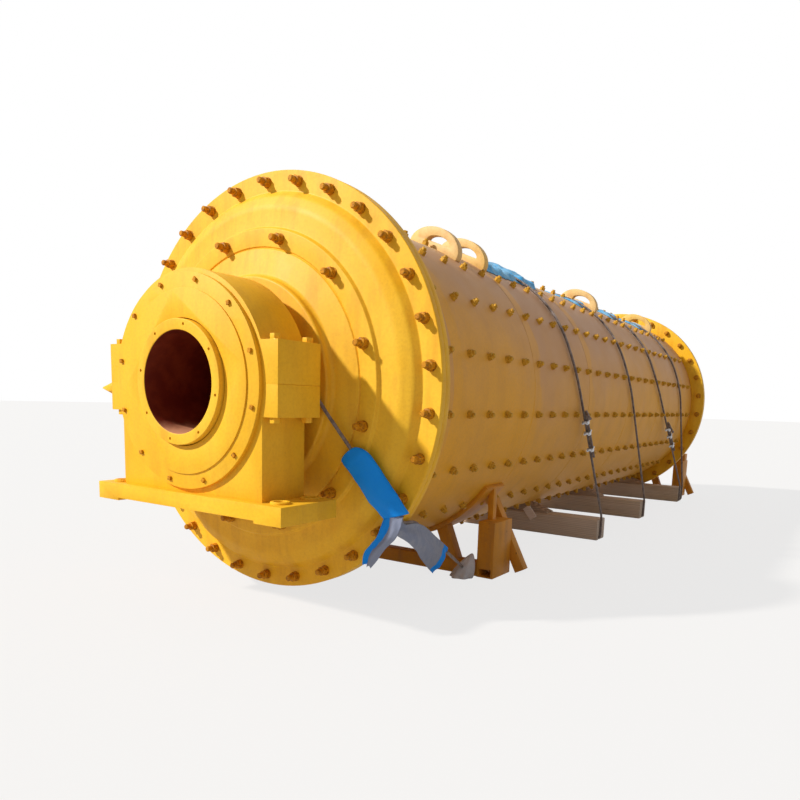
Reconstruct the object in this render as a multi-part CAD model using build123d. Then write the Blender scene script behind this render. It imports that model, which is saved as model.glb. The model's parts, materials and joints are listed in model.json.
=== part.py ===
from build123d import *
import os
from math import acos, atan2, cos, degrees, radians, sin, sqrt

# A long tube mill drum on its two trunnion bearings, packed for the road: it lies on timbers
# and a steel saddle, its far bearing stands on a trestle, and its near bearing hangs free.
# Sizes are millimetres. The drum's axis runs along Y with the photographed end at -Y, +X is
# to the right of that end, +Z is up, and the origin is on the ground under the drum's middle.

# Drum
shell_radius = 1200
shell_wall = 30
drum_length = 7714
flange_rim = 170
shell_flange_thickness = 50
head_flange_thickness = 46

# Cast head: heights stand out from the flange's outer face, and the steps between the boss
# and the shell lie at shares of the way out
face_land = 133
outer_step_height = 60
inner_step_share = 0.616
inner_step_foot_height = 90
inner_step_slope = 12
bolt_ring_height = 115
bolt_ring_slope = 5
bolt_ring_share = 0.35
boss_foot_height = 150
boss_height = 206
head_inner_height = 20
head_pocket_height = 58

# Hollow trunnion
trunnion_bore_radius = 302
spigot_wall = 66
journal_step = 112
boss_step = 212
neck_length = 120
spigot_reach = 35
spigot_hole_count = 8
spigot_hole_inset = 38
spigot_hole_radius = 9
spigot_hole_depth = 40
spigot_hole_start_angle = 33.5

# Trunnion bearing
housing_depth = 348
housing_wall = 146
cap_wall = 180
journal_end_gap = 10
running_clearance = 0.9
ear_reach = 118
ear_root = 80
ear_top = 240
ear_bottom = -180
split_edge_chamfer = 4
base_foot = 178
base_plate_side = 203
base_plate_lip = 62
base_plate_thickness = 110
base_hole_radius = 34
base_hole_side_edge = 110
base_hole_end_edge = 111
base_recess_inset = 6
base_recess_depth = 16
end_ring_inset = 27
end_ring_thickness = 29
end_cover_inset = 90
end_cover_thickness = 10
spigot_gap = 6
ring_gap = 14
ear_stud_radius = 18
ear_stud_edge = 44
ear_nut_across_flats = 56
ear_nut_thickness = 32
oil_stub_radius = 38
oil_stub_length = 60
oil_tip_length = 105
oil_tip_taper = 15
oil_stub_forward = 130

# Lifting lugs, in line along the drum; places along it are shares of the drum's length
lug_angle = 68
lug_width = 530
lug_rise = 156
lug_thickness = 70
lug_corner_radius = 130
lug_eye_width = 190
lug_eye_height = 70
lug_eye_rise = 78
lug_shares = [0.1776, 0.2344, 0.595, 0.9061]

# Timbers and chocks; the last timber lies close to the far flange
timber_overhangs = [7, -35, -20]
timber_width = 240
timber_height = 215
timber_shares = [0.4738, 0.7065]
last_timber_setback = 234
timber_edge = 10
drum_lift = 25
chock_inner_x = 120
chock_crest_x = 400
chock_outer_x = 640
chock_toe_height = 14
chock_width = 170

# Steel saddle under the shell and trestle under the far bearing
saddle_offset = 1545
band_thickness = 35
band_width = 310
band_start_angle = 18
band_end_angle = 54
leg_inset = 64
leg_width = 143
leg_depth = 320
leg_drop = 264
gusset_inset = 12
gusset_width = 46
gusset_thickness = 60
leg_slot_width = 104
leg_slot_height = 58
leg_slot_bottom = 10
brace_size = 85
brace_wall = 7
brace_top_inset = 60
brace_top_drop = 134
brace_spread = 290
strut_size = 100
strut_angle = 28.5
strut_spread = 145
sill_height = 110
sill_depth = 120
sill_setback = 10
trestle_beam_depth = 110
trestle_beam_width = 168

# Wire rope lashings over the shell and round the timbers
rope_radius = 12
rope_sides = 6
pad_thickness = 8
rope_crest_shares = [0.3338, 0.551, 0.7065, 0.8686]
rope_timbers = [0, 1, 2, 2]
rope_shifts = [-40, 0, -75, 70]
rope_crest_sides = 8
rope_groove_width = 34
rope_groove_depth = 40
rope_end_gap = 2
rope_knee_radius = 200
rope_leaving_radius = 560
long_pad_gap = 87
long_pad_overlap = 370
pad_lengths = [260, 330, 300]
pad_start_angle = 58
pad_end_angle = 84

# Sling round the near trunnion, over the flange's rim and down to the saddle
sling_loop_gap = 41
sling_loop_sides = 10
sling_lead_start = 100
sling_lead_bend = 260
sling_rim_bend = 55
sling_rim_angle = -35
sling_rim_clearance = 24
sling_rim_front = 30
sling_rim_back = 110
sling_foot_inset = 92
sling_foot_z = 40
sleeve_width = 190
sleeve_thickness = 44
sleeve_start = 790
sleeve_end = 1270
sleeve_lift = 14
tail_thickness = 8
long_tail_width = 200
long_tail_length = 560
short_tail_width = 90
short_tail_length = 360
rag_sides = 8
rag_foot_radius = 92
rag_taper = 17
rag_height = 190
touch_gap = 0.3

# Sizes that follow from those above
flange_radius = shell_radius + flange_rim
axis_height = timber_height + drum_lift + shell_radius
spigot_radius = trunnion_bore_radius + spigot_wall
journal_radius = spigot_radius + journal_step
boss_radius = journal_radius + boss_step
housing_front_height = boss_height + neck_length + housing_depth
journal_end_height = housing_front_height - journal_end_gap
spigot_end_height = housing_front_height + end_ring_thickness + end_cover_thickness + spigot_reach
housing_half_width = journal_radius + housing_wall
housing_cap_radius = journal_radius + cap_wall
ear_half_width = housing_half_width + ear_reach
base_plate_top = -(journal_radius + base_foot)
base_plate_width = 2 * (housing_half_width + base_plate_side)
base_plate_depth = housing_depth + 2 * base_plate_lip
end_ring_radius = housing_cap_radius - end_ring_inset
band_radius = shell_radius + band_thickness
band_end_x = band_radius * sin(radians(band_end_angle))
band_end_z = axis_height - band_radius * cos(radians(band_end_angle))
leg_inner_x = band_end_x - leg_inset
leg_outer_x = leg_inner_x + leg_width
leg_front_offset = saddle_offset - leg_depth / 2
sill_offset = leg_front_offset + sill_setback
sling_loop_height = housing_front_height - housing_depth - sling_loop_gap
lug_offsets = [share * drum_length for share in lug_shares]
timber_lengths = [2 * (shell_radius + overhang) for overhang in timber_overhangs]
timber_offsets = [share * drum_length for share in timber_shares]
timber_offsets.append(drum_length - last_timber_setback)
rope_crest_offsets = [share * drum_length for share in rope_crest_shares]

near_face = -drum_length / 2
pedestal_y = near_face - housing_front_height + housing_depth / 2

os.makedirs("parts", exist_ok=True)


def save(name, shape):
    export_step(shape, f"parts/{name}.step")


def gather(solids):
    return Compound(children=list(solids))


def turned_copy(shape):
    """The far end's copy of a near-end piece, turned half round the vertical."""
    return Rotation(0, 0, 180) * shape


def turned(points):
    """A solid turned about the drum's axis, from (radius, height out of the near flange)."""
    corners = [(radius, near_face - height) for radius, height in points]
    solid = revolve(make_face(Polyline(*corners, close=True)), Axis.Y, 360)
    return Pos(0, 0, axis_height) * solid


def box_between(low, high):
    """A box from its lowest to its highest corner."""
    size = [top - bottom for bottom, top in zip(low, high)]
    middle = [(top + bottom) / 2 for bottom, top in zip(low, high)]
    return Pos(*middle) * Box(*size)


def along_axis(radius, y_start, y_end):
    """A cylinder on the drum's axis."""
    middle = (y_start + y_end) / 2
    cylinder = Cylinder(radius, abs(y_end - y_start), rotation=(90, 0, 0))
    return Pos(0, middle, axis_height) * cylinder


def plate_in_section(points, y_start, y_end):
    """A plate cut across the drum, from (x, z) corners, between two places along Y."""
    section = Plane(origin=(0, y_start, 0), x_dir=(1, 0, 0), z_dir=(0, 1, 0))
    corners = [(x, -z) for x, z in points]
    face = section * make_face(Polyline(*corners, close=True))
    return extrude(face, y_end - y_start)


def polar(radius, angle):
    """A place in the drum's cross-section, as x and z."""
    return (radius * cos(radians(angle)), axis_height + radius * sin(radians(angle)))


def mirrored_pair(shape):
    return [shape, mirror(shape, Plane.YZ)]


def shell_flange():
    back = head_flange_thickness + shell_flange_thickness
    return turned([
        (shell_radius, -head_flange_thickness), (flange_radius, -head_flange_thickness),
        (flange_radius, -back), (shell_radius, -back)])


def head(hole_angle):
    """The end casting, with its stepped face, boss and hollow trunnion in one piece."""
    def out_from_boss(share):
        return boss_radius + share * (shell_radius - boss_radius)

    inner_step_radius = out_from_boss(inner_step_share)
    bolt_ring_radius = out_from_boss(bolt_ring_share)
    front = [
        (flange_radius, -head_flange_thickness), (flange_radius, 0),
        (flange_radius - face_land, 0), (shell_radius, outer_step_height),
        (inner_step_radius, inner_step_foot_height),
        (inner_step_radius - inner_step_slope, bolt_ring_height),
        (bolt_ring_radius, bolt_ring_height + bolt_ring_slope),
        (boss_radius, boss_foot_height), (boss_radius, boss_height),
        (journal_radius, boss_height), (journal_radius, journal_end_height),
        (spigot_radius, journal_end_height), (spigot_radius, spigot_end_height)]
    back = [
        (trunnion_bore_radius, spigot_end_height), (trunnion_bore_radius, head_pocket_height),
        (bolt_ring_radius, head_pocket_height), (bolt_ring_radius, head_inner_height),
        (shell_radius - shell_wall, head_inner_height),
        (shell_radius - shell_wall, -head_flange_thickness)]
    casting = turned(front + back)
    end_plane = Plane(origin=(0, near_face - spigot_end_height, axis_height),
                      x_dir=(1, 0, 0), z_dir=(0, -1, 0))
    holes = end_plane * PolarLocations(trunnion_bore_radius + spigot_hole_inset, spigot_hole_count,
                                       start_angle=hole_angle)
    return casting - [place * Cylinder(spigot_hole_radius, 2 * spigot_hole_depth) for place in holes]


def housing_bore():
    back = pedestal_y + housing_depth
    front = pedestal_y - housing_depth
    return along_axis(journal_radius + running_clearance, front, back)


def housing_slab(half_width, low, high):
    half_depth = housing_depth / 2
    return box_between((-half_width, pedestal_y - half_depth, axis_height + low),
                       (half_width, pedestal_y + half_depth, axis_height + high))


def ear_stud_places():
    x = housing_half_width + ear_reach / 2
    y = housing_depth / 2 - ear_stud_edge
    for side in (-1, 1):
        for row in (-1, 1):
            yield side * x, pedestal_y + row * y


def ear_holes():
    length = 2 * (ear_top - ear_bottom)
    hole = Cylinder(ear_stud_radius + 2, length)
    return [Pos(x, y, axis_height) * hole for x, y in ear_stud_places()]


def lower_housing():
    block = housing_slab(housing_half_width, base_plate_top, 0)
    ears = housing_slab(ear_half_width, ear_bottom, 0)
    return block + ears - housing_bore() - ear_holes()


def housing_cap():
    half_depth = housing_depth / 2
    drum = along_axis(housing_cap_radius, pedestal_y - half_depth, pedestal_y + half_depth)
    drum &= housing_slab(housing_cap_radius + 1, 0, housing_cap_radius + 1)
    ears = housing_slab(ear_half_width, 0, ear_top) - housing_slab(journal_radius + ear_root, 0, ear_top)
    cap = drum + ears - housing_bore() - ear_holes()
    split_edges = cap.edges().filter_by(Axis.Y).group_by(Axis.Z)[0]
    outer_edges = [edge for edge in split_edges if abs(edge.center().X) > ear_half_width - 1]
    return chamfer(outer_edges, split_edge_chamfer)


def base_plate():
    top = axis_height + base_plate_top
    bottom = top - base_plate_thickness
    plate = Pos(0, pedestal_y, (top + bottom) / 2) * Box(
        base_plate_width, base_plate_depth, base_plate_thickness)
    recess_half_width = housing_half_width - base_recess_inset
    recess = Pos(0, pedestal_y, bottom) * Box(
        2 * recess_half_width, base_plate_depth + 2, 2 * base_recess_depth)
    holes = Pos(0, pedestal_y, top) * GridLocations(
        base_plate_width - 2 * base_hole_side_edge, base_plate_depth - 2 * base_hole_end_edge, 2, 2)
    return plate - recess - [place * Cylinder(base_hole_radius, 4 * base_plate_thickness) for place in holes]


def end_ring():
    low = housing_front_height
    high = low + end_ring_thickness
    inner = spigot_radius + ring_gap
    return turned([(inner, low), (end_ring_radius, low), (end_ring_radius, high), (inner, high)])


def end_cover():
    low = housing_front_height + end_ring_thickness
    high = low + end_cover_thickness
    inner = spigot_radius + spigot_gap
    outer = end_ring_radius - end_cover_inset
    return turned([(inner, low), (outer, low), (outer, high), (inner, high)])


def ear_studs():
    nut = extrude(RegularPolygon(ear_nut_across_flats / 2, 6, major_radius=False), ear_nut_thickness)
    shank = Pos(0, 0, (ear_bottom + ear_top) / 2) * Cylinder(ear_stud_radius, ear_top - ear_bottom)
    stud = shank + Pos(0, 0, ear_top) * nut + Pos(0, 0, ear_bottom - ear_nut_thickness) * nut
    return gather(Pos(x, y, axis_height) * stud for x, y in ear_stud_places())


def oil_fitting():
    """The pointed six-sided stub on the near bearing's left ear, just under the split."""
    section = RegularPolygon(oil_stub_radius, 6)
    stub = extrude(section, oil_stub_length)
    tip = extrude(Pos(0, 0, oil_stub_length) * section, oil_tip_length, taper=oil_tip_taper)
    place = Pos(-ear_half_width, pedestal_y - oil_stub_forward,
                axis_height - oil_stub_radius - split_edge_chamfer)
    return place * Rotation(0, -90, 0) * (stub + tip)


def lug(offset):
    """A D-shaped lifting plate that stands on the shell, square to the axis."""
    radial = Plane(origin=(0, near_face + offset, axis_height),
                   x_dir=(sin(radians(lug_angle)), 0, -cos(radians(lug_angle))), z_dir=(0, -1, 0))
    inner = shell_radius - lug_rise
    outer = shell_radius + lug_rise
    blank = Pos(0, (inner + outer) / 2) * Rectangle(lug_width, outer - inner)
    blank = fillet(blank.vertices().group_by(Axis.Y)[-1], lug_corner_radius)
    eye = Pos(0, shell_radius + lug_eye_rise) * SlotOverall(lug_eye_width, lug_eye_height)
    plate = extrude(radial * (blank - eye), lug_thickness)
    face_y = near_face + offset
    return plate - along_axis(shell_radius, face_y - 2 * lug_thickness, face_y + 2 * lug_thickness)


def timber(index):
    length = timber_lengths[index]
    y = near_face + timber_offsets[index]
    beam = Pos(0, y, timber_height / 2) * Box(length, timber_width, timber_height)
    beam = chamfer(beam.edges().filter_by(Axis.X), timber_edge)
    for rope, carrier in enumerate(rope_timbers):
        if carrier == index:
            beam -= Pos(0, y + rope_shifts[rope], 0) * Box(
                length + 2, rope_groove_width, 2 * rope_groove_depth)
    return beam


def chocks():
    """Wooden wedges on the timbers, hollowed to the shell's curve, that carry the drum."""
    crest_z = axis_height - sqrt(shell_radius ** 2 - chock_crest_x ** 2)
    outline = [
        (chock_inner_x, timber_height), (chock_outer_x, timber_height),
        (chock_outer_x, timber_height + chock_toe_height), (chock_crest_x, crest_z),
        (chock_inner_x, crest_z)]
    pieces = []
    for offset in timber_offsets:
        start = near_face + offset - chock_width / 2
        end = start + chock_width
        wedge = plate_in_section(outline, start, end)
        wedge -= along_axis(shell_radius, start - 1, end + 1)
        pieces += mirrored_pair(wedge)
    return gather(pieces)


def slanted_bar(foot, top, size, y_start, wall=0):
    """A square bar or tube between two (x, z) places, with its ends cut square."""
    run = Vector(top[0] - foot[0], 0, top[1] - foot[1])
    start = Vector(foot[0], y_start + size / 2, foot[1])
    section_plane = Plane(origin=start, x_dir=(0, 1, 0), z_dir=run.normalized())
    section = Rectangle(size, size)
    if wall:
        section -= Rectangle(size - 2 * wall, size - 2 * wall)
    return extrude(section_plane * section, run.length)


def inside_band():
    """All that lies within the outer face of the saddle's curved band."""
    start = near_face + leg_front_offset - leg_depth
    return along_axis(band_radius, start, start + 4 * leg_depth)


def saddle_band():
    """The two curved plates that carry the shell, one each side."""
    start = near_face + saddle_offset - band_width / 2
    end = start + band_width
    ring = along_axis(band_radius, start, end) - along_axis(shell_radius, start - 1, end + 1)
    reach = 2 * band_radius
    wedge = [(0, axis_height)]
    for angle in (band_end_angle, band_start_angle):
        wedge.append(polar(reach, angle - 90))
    return gather(mirrored_pair(ring & plate_in_section(wedge, start - 1, end + 1)))


def stand_leg(y_start, top):
    """A box leg with a slot through its foot."""
    leg = box_between((leg_inner_x, y_start, 0), (leg_outer_x, y_start + leg_depth, top))
    middle = (leg_inner_x + leg_outer_x) / 2
    slot = box_between((middle - leg_slot_width / 2, y_start - 1, leg_slot_bottom),
                       (middle + leg_slot_width / 2, y_start + leg_depth + 1,
                        leg_slot_bottom + leg_slot_height))
    return leg - slot


def stand_brace(y_start, top_z):
    """The open square tube that leans out behind a leg, down to the ground."""
    top = (leg_inner_x - brace_top_inset, top_z)
    lean = Vector(brace_spread, 0, -top[1]).normalized()
    foot = (top[0] + brace_spread, brace_size / 2 * lean.X)
    return slanted_bar(foot, top, brace_size, y_start, brace_wall)


def stand_sill(y_start):
    return box_between((-leg_inner_x, y_start, 0), (leg_inner_x, y_start + sill_depth, sill_height))


def stand_strut(top_z, sill_start, trimming):
    """A leaning strut that is cut level on the sill and trimmed to what it carries."""
    bearing_x, bearing_z = polar(band_radius, strut_angle - 90)
    slope = strut_spread / bearing_z
    foot = (bearing_x + slope * (bearing_z + strut_size), -strut_size)
    head_z = top_z + strut_size
    head_end = (bearing_x + slope * (bearing_z - head_z), head_z)
    bar = slanted_bar(foot, head_end, strut_size, sill_start + (sill_depth - strut_size) / 2)
    below = box_between((0, sill_start, -2 * strut_size), (leg_outer_x, sill_start + sill_depth, sill_height))
    return bar - below - trimming


def saddle_parts():
    leg_front = near_face + leg_front_offset
    leg_top = band_end_z - leg_drop
    gusset_x = leg_inner_x + gusset_inset
    gusset_y = leg_front + (leg_depth - gusset_thickness) / 2
    gusset = box_between((gusset_x, gusset_y, leg_top - 1),
                         (gusset_x + gusset_width, gusset_y + gusset_thickness, band_end_z))
    leg = stand_leg(leg_front, leg_top) + gusset - inside_band()
    brace = stand_brace(leg_front + leg_depth, band_end_z - brace_top_drop) - inside_band()
    sill_start = near_face + sill_offset
    strut_top = polar(band_radius, strut_angle - 90)[1]
    return {
        "near_saddle_band": saddle_band(),
        "near_saddle_legs": gather(mirrored_pair(leg)),
        "near_saddle_braces": gather(mirrored_pair(brace)),
        "near_saddle_struts": gather(mirrored_pair(stand_strut(strut_top, sill_start, inside_band()))),
        "near_saddle_sill": stand_sill(sill_start)}


def trestle_parts():
    """The stand under the far bearing, on the pattern of the saddle but with a level beam."""
    front = -pedestal_y - trestle_beam_width / 2
    beam_top = axis_height + base_plate_top - base_plate_thickness
    beam_bottom = beam_top - trestle_beam_depth
    beam = box_between((-leg_outer_x, front, beam_bottom),
                       (leg_outer_x, front + trestle_beam_width, beam_top))
    leg_front = -pedestal_y - leg_depth / 2
    reach = 2 * leg_outer_x
    above = box_between((-reach, leg_front - leg_depth, beam_bottom),
                        (reach, leg_front + 2 * leg_depth, beam_top + axis_height))
    leg = stand_leg(leg_front, beam_bottom)
    brace = stand_brace(leg_front + leg_depth, beam_bottom + brace_size / 2) - above
    sill_start = front + (trestle_beam_width - sill_depth) / 2
    return {
        "far_trestle_beam": beam,
        "far_trestle_legs": gather(mirrored_pair(leg)),
        "far_trestle_braces": gather(mirrored_pair(brace)),
        "far_trestle_struts": gather(mirrored_pair(stand_strut(beam_bottom, sill_start, above))),
        "far_trestle_sill": stand_sill(sill_start)}


def tube_along(points, radii, radius):
    """A rope as a plain rod with flat sides, round tangent arcs at its corners."""
    path = FilletPolyline(*points, radius=radii)
    start = Plane(origin=path @ 0, z_dir=path % 0)
    return sweep(start * RegularPolygon(radius, rope_sides), path=path)


def lashing_rope(index):
    """One rope: up from under its timber, over the shell's crest and down the other side."""
    carrier = rope_timbers[index]
    crest_y = near_face + rope_crest_offsets[index]
    foot_y = near_face + timber_offsets[carrier] + rope_shifts[index]
    crest_radius = shell_radius + pad_thickness + rope_radius
    end_x = timber_lengths[carrier] / 2 + rope_radius + rope_end_gap
    under_z = rope_groove_depth / 2
    knee_z = timber_height + 2 * rope_radius
    knee_drop = axis_height - knee_z
    tangent_angle = degrees(acos(crest_radius / sqrt(end_x ** 2 + knee_drop ** 2))
                            - atan2(knee_drop, end_x))
    turn = (180 - 2 * tangent_angle) / rope_crest_sides
    corner_radius = crest_radius / cos(radians(turn / 2))
    points = [(rope_end_gap, foot_y, under_z), (end_x, foot_y, under_z), (end_x, foot_y, knee_z)]
    radii = [rope_groove_depth / 2, rope_knee_radius]
    for side in range(rope_crest_sides):
        x, z = polar(corner_radius, tangent_angle + turn * (side + 0.5))
        points.append((x, crest_y, z))
        outermost = side in (0, rope_crest_sides - 1)
        radii.append(rope_leaving_radius if outermost else 0.99 * crest_radius)
    points += [(-end_x, foot_y, knee_z), (-end_x, foot_y, under_z), (-rope_end_gap, foot_y, under_z)]
    radii += [rope_knee_radius, rope_groove_depth / 2]
    return tube_along(points, radii, rope_radius)


def rope_pad(start, end):
    """Folded sheeting between a rope and the shell, on the side near the lugs."""
    ring = along_axis(shell_radius + pad_thickness, start, end)
    ring -= along_axis(shell_radius, start - 1, end + 1)
    outline = [(0, axis_height)]
    outline += [polar(2 * shell_radius, angle) for angle in (pad_start_angle, pad_end_angle)]
    return ring & plate_in_section(outline, start, end)


def rope_pads():
    """The first rope's pad reaches back to the second lug."""
    pieces = [rope_pad(near_face + lug_offsets[1] + long_pad_gap,
                       near_face + rope_crest_offsets[0] + long_pad_overlap)]
    for offset, length in zip(rope_crest_offsets[1:], pad_lengths):
        middle = near_face + offset
        pieces.append(rope_pad(middle - length / 2, middle + length / 2))
    return gather(pieces)


def sling_geometry():
    """Where the sling's lead leaves its loop, crosses the boss and meets the rim."""
    loop_radius = journal_radius + rope_radius + touch_gap
    rim_radius = flange_radius + sling_rim_clearance
    start_angle = sling_rim_angle + degrees(acos(loop_radius / rim_radius))
    crossing_radius = boss_radius + rope_radius
    full_run = sqrt(rim_radius ** 2 - loop_radius ** 2)
    boss_run = sqrt(crossing_radius ** 2 - loop_radius ** 2)
    return loop_radius, rim_radius, start_angle, boss_run, full_run


def sling_lead_point(run, height):
    loop_radius, _, start_angle, _, _ = sling_geometry()
    turn = radians(start_angle)
    x = loop_radius * cos(turn) + run * sin(turn)
    z = axis_height + loop_radius * sin(turn) - run * cos(turn)
    return Vector(x, near_face - height, z)


def sling_points():
    _, rim_radius, _, boss_run, full_run = sling_geometry()
    boss_crossing_height = boss_height + rope_radius + touch_gap
    rim_x, rim_z = polar(rim_radius, sling_rim_angle)
    foot_y = near_face + sill_offset - rope_radius - touch_gap
    return [
        sling_lead_point(sling_lead_start, sling_loop_height),
        sling_lead_point(boss_run, boss_crossing_height), sling_lead_point(full_run, sling_rim_front),
        Vector(rim_x, near_face + sling_rim_back, rim_z),
        Vector(leg_inner_x - sling_foot_inset, foot_y, sling_foot_z)]


def sling_rope():
    """Once round the neck, from where its end butts on the lead, and out along the lead."""
    loop_radius, _, start_angle, _, _ = sling_geometry()
    butt_angle = degrees(acos(loop_radius / (loop_radius + 2 * rope_radius + touch_gap)))
    turn = (360 - butt_angle) / sling_loop_sides
    corner_radius = loop_radius / cos(radians(turn / 2))
    loop_y = near_face - sling_loop_height
    x, z = polar(loop_radius, start_angle - butt_angle)
    points = [Vector(x, loop_y, z)]
    for side in reversed(range(sling_loop_sides)):
        x, z = polar(corner_radius, start_angle + turn * (side + 0.5))
        points.append(Vector(x, loop_y, z))
    radii = [0.99 * loop_radius] * sling_loop_sides
    radii += [sling_lead_bend, sling_lead_bend, sling_rim_bend, sling_rim_bend]
    return tube_along(points + sling_points(), radii, rope_radius)


def sling_sleeve(rope):
    """A flattened wrap round the sling where it crosses the head."""
    points = sling_points()
    direction = (points[2] - points[1]).normalized()
    boss_run = sling_geometry()[3]
    start = points[1] + direction * (sleeve_start - boss_run)
    across = direction.cross(Vector(0, 1, 0)).normalized()
    lifted = start + Vector(0, -sleeve_lift, 0)
    section = Plane(origin=lifted, x_dir=across, z_dir=direction) * RectangleRounded(
        sleeve_width, sleeve_thickness, sleeve_thickness / 2 - 1)
    return extrude(section, sleeve_end - sleeve_start) - rope


def long_tail():
    """The broad end of the wrap, which hangs along the sling behind the rim."""
    points = sling_points()
    direction = (points[4] - points[3]).normalized()
    across = direction.cross(Vector(1, -0.6, 0.2)).normalized()
    outward = across.cross(direction).normalized()
    if outward.X < 0:
        outward = -outward
    start = points[3] + direction * 40 + outward * (rope_radius + tail_thickness / 2 + touch_gap)
    section = Plane(origin=start, x_dir=across, z_dir=direction) * Rectangle(
        long_tail_width, tail_thickness)
    return extrude(section, long_tail_length)


def short_tail():
    """The narrow end of the wrap, which hangs straight down before the flange."""
    points = sling_points()
    direction = (points[2] - points[1]).normalized()
    end = points[1] + direction * (sleeve_end - sling_geometry()[3])
    top = end + Vector(-60, -sleeve_lift, 16)
    return box_between(
        (top.X - short_tail_width / 2, top.Y - tail_thickness / 2, top.Z - short_tail_length),
        (top.X + short_tail_width / 2, top.Y + tail_thickness / 2, top.Z))


def rag_bundle(rope):
    foot = sling_points()[4]
    cone = extrude(RegularPolygon(rag_foot_radius, rag_sides), rag_height, taper=rag_taper)
    return Pos(foot.X, foot.Y - rag_foot_radius + rope_radius, 0) * cone - rope


shell_start = near_face + head_flange_thickness
save("shell_tube", along_axis(shell_radius, shell_start, -shell_start)
     - along_axis(shell_radius - shell_wall, shell_start - 1, 1 - shell_start))
near_flange = shell_flange()
save("near_shell_flange", near_flange)
save("far_shell_flange", turned_copy(near_flange))
save("near_head", head(spigot_hole_start_angle))
save("far_head", turned_copy(head(180 - spigot_hole_start_angle)))

for number, offset in enumerate(lug_offsets, start=1):
    save(f"lifting_lug_{number}", lug(offset))

for index in range(len(timber_offsets)):
    save(f"timber_{index + 1}", timber(index))
save("timber_chocks", chocks())

for name, shape in {**saddle_parts(), **trestle_parts()}.items():
    save(name, shape)

for index in range(len(rope_crest_offsets)):
    save(f"lashing_rope_{index + 1}", lashing_rope(index))
save("rope_pads", rope_pads())

sling = sling_rope()
save("sling_rope", sling)
sleeve = sling_sleeve(sling)
save("sling_sleeve", sleeve)
save("sling_tails", gather([long_tail(), short_tail() - sleeve - sling]))
save("rag_bundle", rag_bundle(sling))

bearing = {
    "base_plate": base_plate(), "lower_housing": lower_housing(), "housing_cap": housing_cap(),
    "end_ring": end_ring(), "end_cover": end_cover(), "ear_studs": ear_studs()}
for name, shape in bearing.items():
    save(f"near_{name}", shape)
    save(f"far_{name}", turned_copy(shape))
save("near_oil_fitting", oil_fitting())
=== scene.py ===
import json
import random
from math import acos, atan2, cos, degrees, exp, pi, radians, sin, sqrt, tan

import bpy
from mathutils import Matrix, Vector, noise

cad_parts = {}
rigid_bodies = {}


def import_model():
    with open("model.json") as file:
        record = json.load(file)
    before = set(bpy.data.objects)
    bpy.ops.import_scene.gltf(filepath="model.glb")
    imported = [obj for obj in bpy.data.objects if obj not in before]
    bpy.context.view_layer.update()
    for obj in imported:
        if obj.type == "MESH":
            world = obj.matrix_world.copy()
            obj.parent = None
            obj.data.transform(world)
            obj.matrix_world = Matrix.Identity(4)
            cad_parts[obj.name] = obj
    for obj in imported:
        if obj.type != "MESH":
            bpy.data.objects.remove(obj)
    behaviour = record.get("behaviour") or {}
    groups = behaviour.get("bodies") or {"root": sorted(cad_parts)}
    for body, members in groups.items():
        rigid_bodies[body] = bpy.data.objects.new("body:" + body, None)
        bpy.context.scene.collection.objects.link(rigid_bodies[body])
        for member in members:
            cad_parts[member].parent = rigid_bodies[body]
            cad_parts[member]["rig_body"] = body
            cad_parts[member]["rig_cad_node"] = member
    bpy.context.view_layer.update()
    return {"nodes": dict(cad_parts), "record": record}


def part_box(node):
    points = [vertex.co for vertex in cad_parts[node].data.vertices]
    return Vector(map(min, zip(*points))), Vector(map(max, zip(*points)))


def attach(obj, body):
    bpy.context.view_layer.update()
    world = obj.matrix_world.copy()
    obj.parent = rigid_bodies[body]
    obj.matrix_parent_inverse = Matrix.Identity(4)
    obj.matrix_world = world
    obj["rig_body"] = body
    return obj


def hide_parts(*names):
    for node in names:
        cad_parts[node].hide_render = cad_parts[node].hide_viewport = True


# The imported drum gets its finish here: paint, rust, timber, wire rope and cloth, with the bolts,
# nuts, welds and rope clips that the solids leave out. Lengths are metres. The drum's axis runs
# along Y at AXIS_HEIGHT, and the end that the camera looks at is at -Y.

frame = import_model()
DRUM = "drum_on_stands"
BEARING = "near_bearing"

# The two ends, with the way that each looks along Y and the body that its bearing belongs to
ENDS = [("near", -1, BEARING), ("far", 1, DRUM)]

# Places read from the frame
SHELL_LOW, SHELL_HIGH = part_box("shell_tube")
HEAD_LOW, HEAD_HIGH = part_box("near_head")
BASE_LOW, BASE_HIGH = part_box("near_base_plate")
SILL_LOW, SILL_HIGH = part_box("near_saddle_sill")
RIM_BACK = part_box("near_shell_flange")[1].y
RING_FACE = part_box("near_end_ring")[0].y
AXIS_HEIGHT = (SHELL_LOW.z + SHELL_HIGH.z) / 2
SHELL_RADIUS = (SHELL_HIGH.z - SHELL_LOW.z) / 2
FLANGE_RADIUS = (HEAD_HIGH.z - HEAD_LOW.z) / 2
HEAD_FLANGE_THICKNESS = 0.046
NEAR_FACE = SHELL_LOW.y - HEAD_FLANGE_THICKNESS
SHELL_BORE_RADIUS = SHELL_RADIUS - 0.03
SPIGOT_HEIGHT = NEAR_FACE - HEAD_LOW.y
BORE_RADIUS = 0.302
JOURNAL_RADIUS = 0.480
BOSS_RADIUS = 0.692
BOSS_HEIGHT = 0.206

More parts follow.
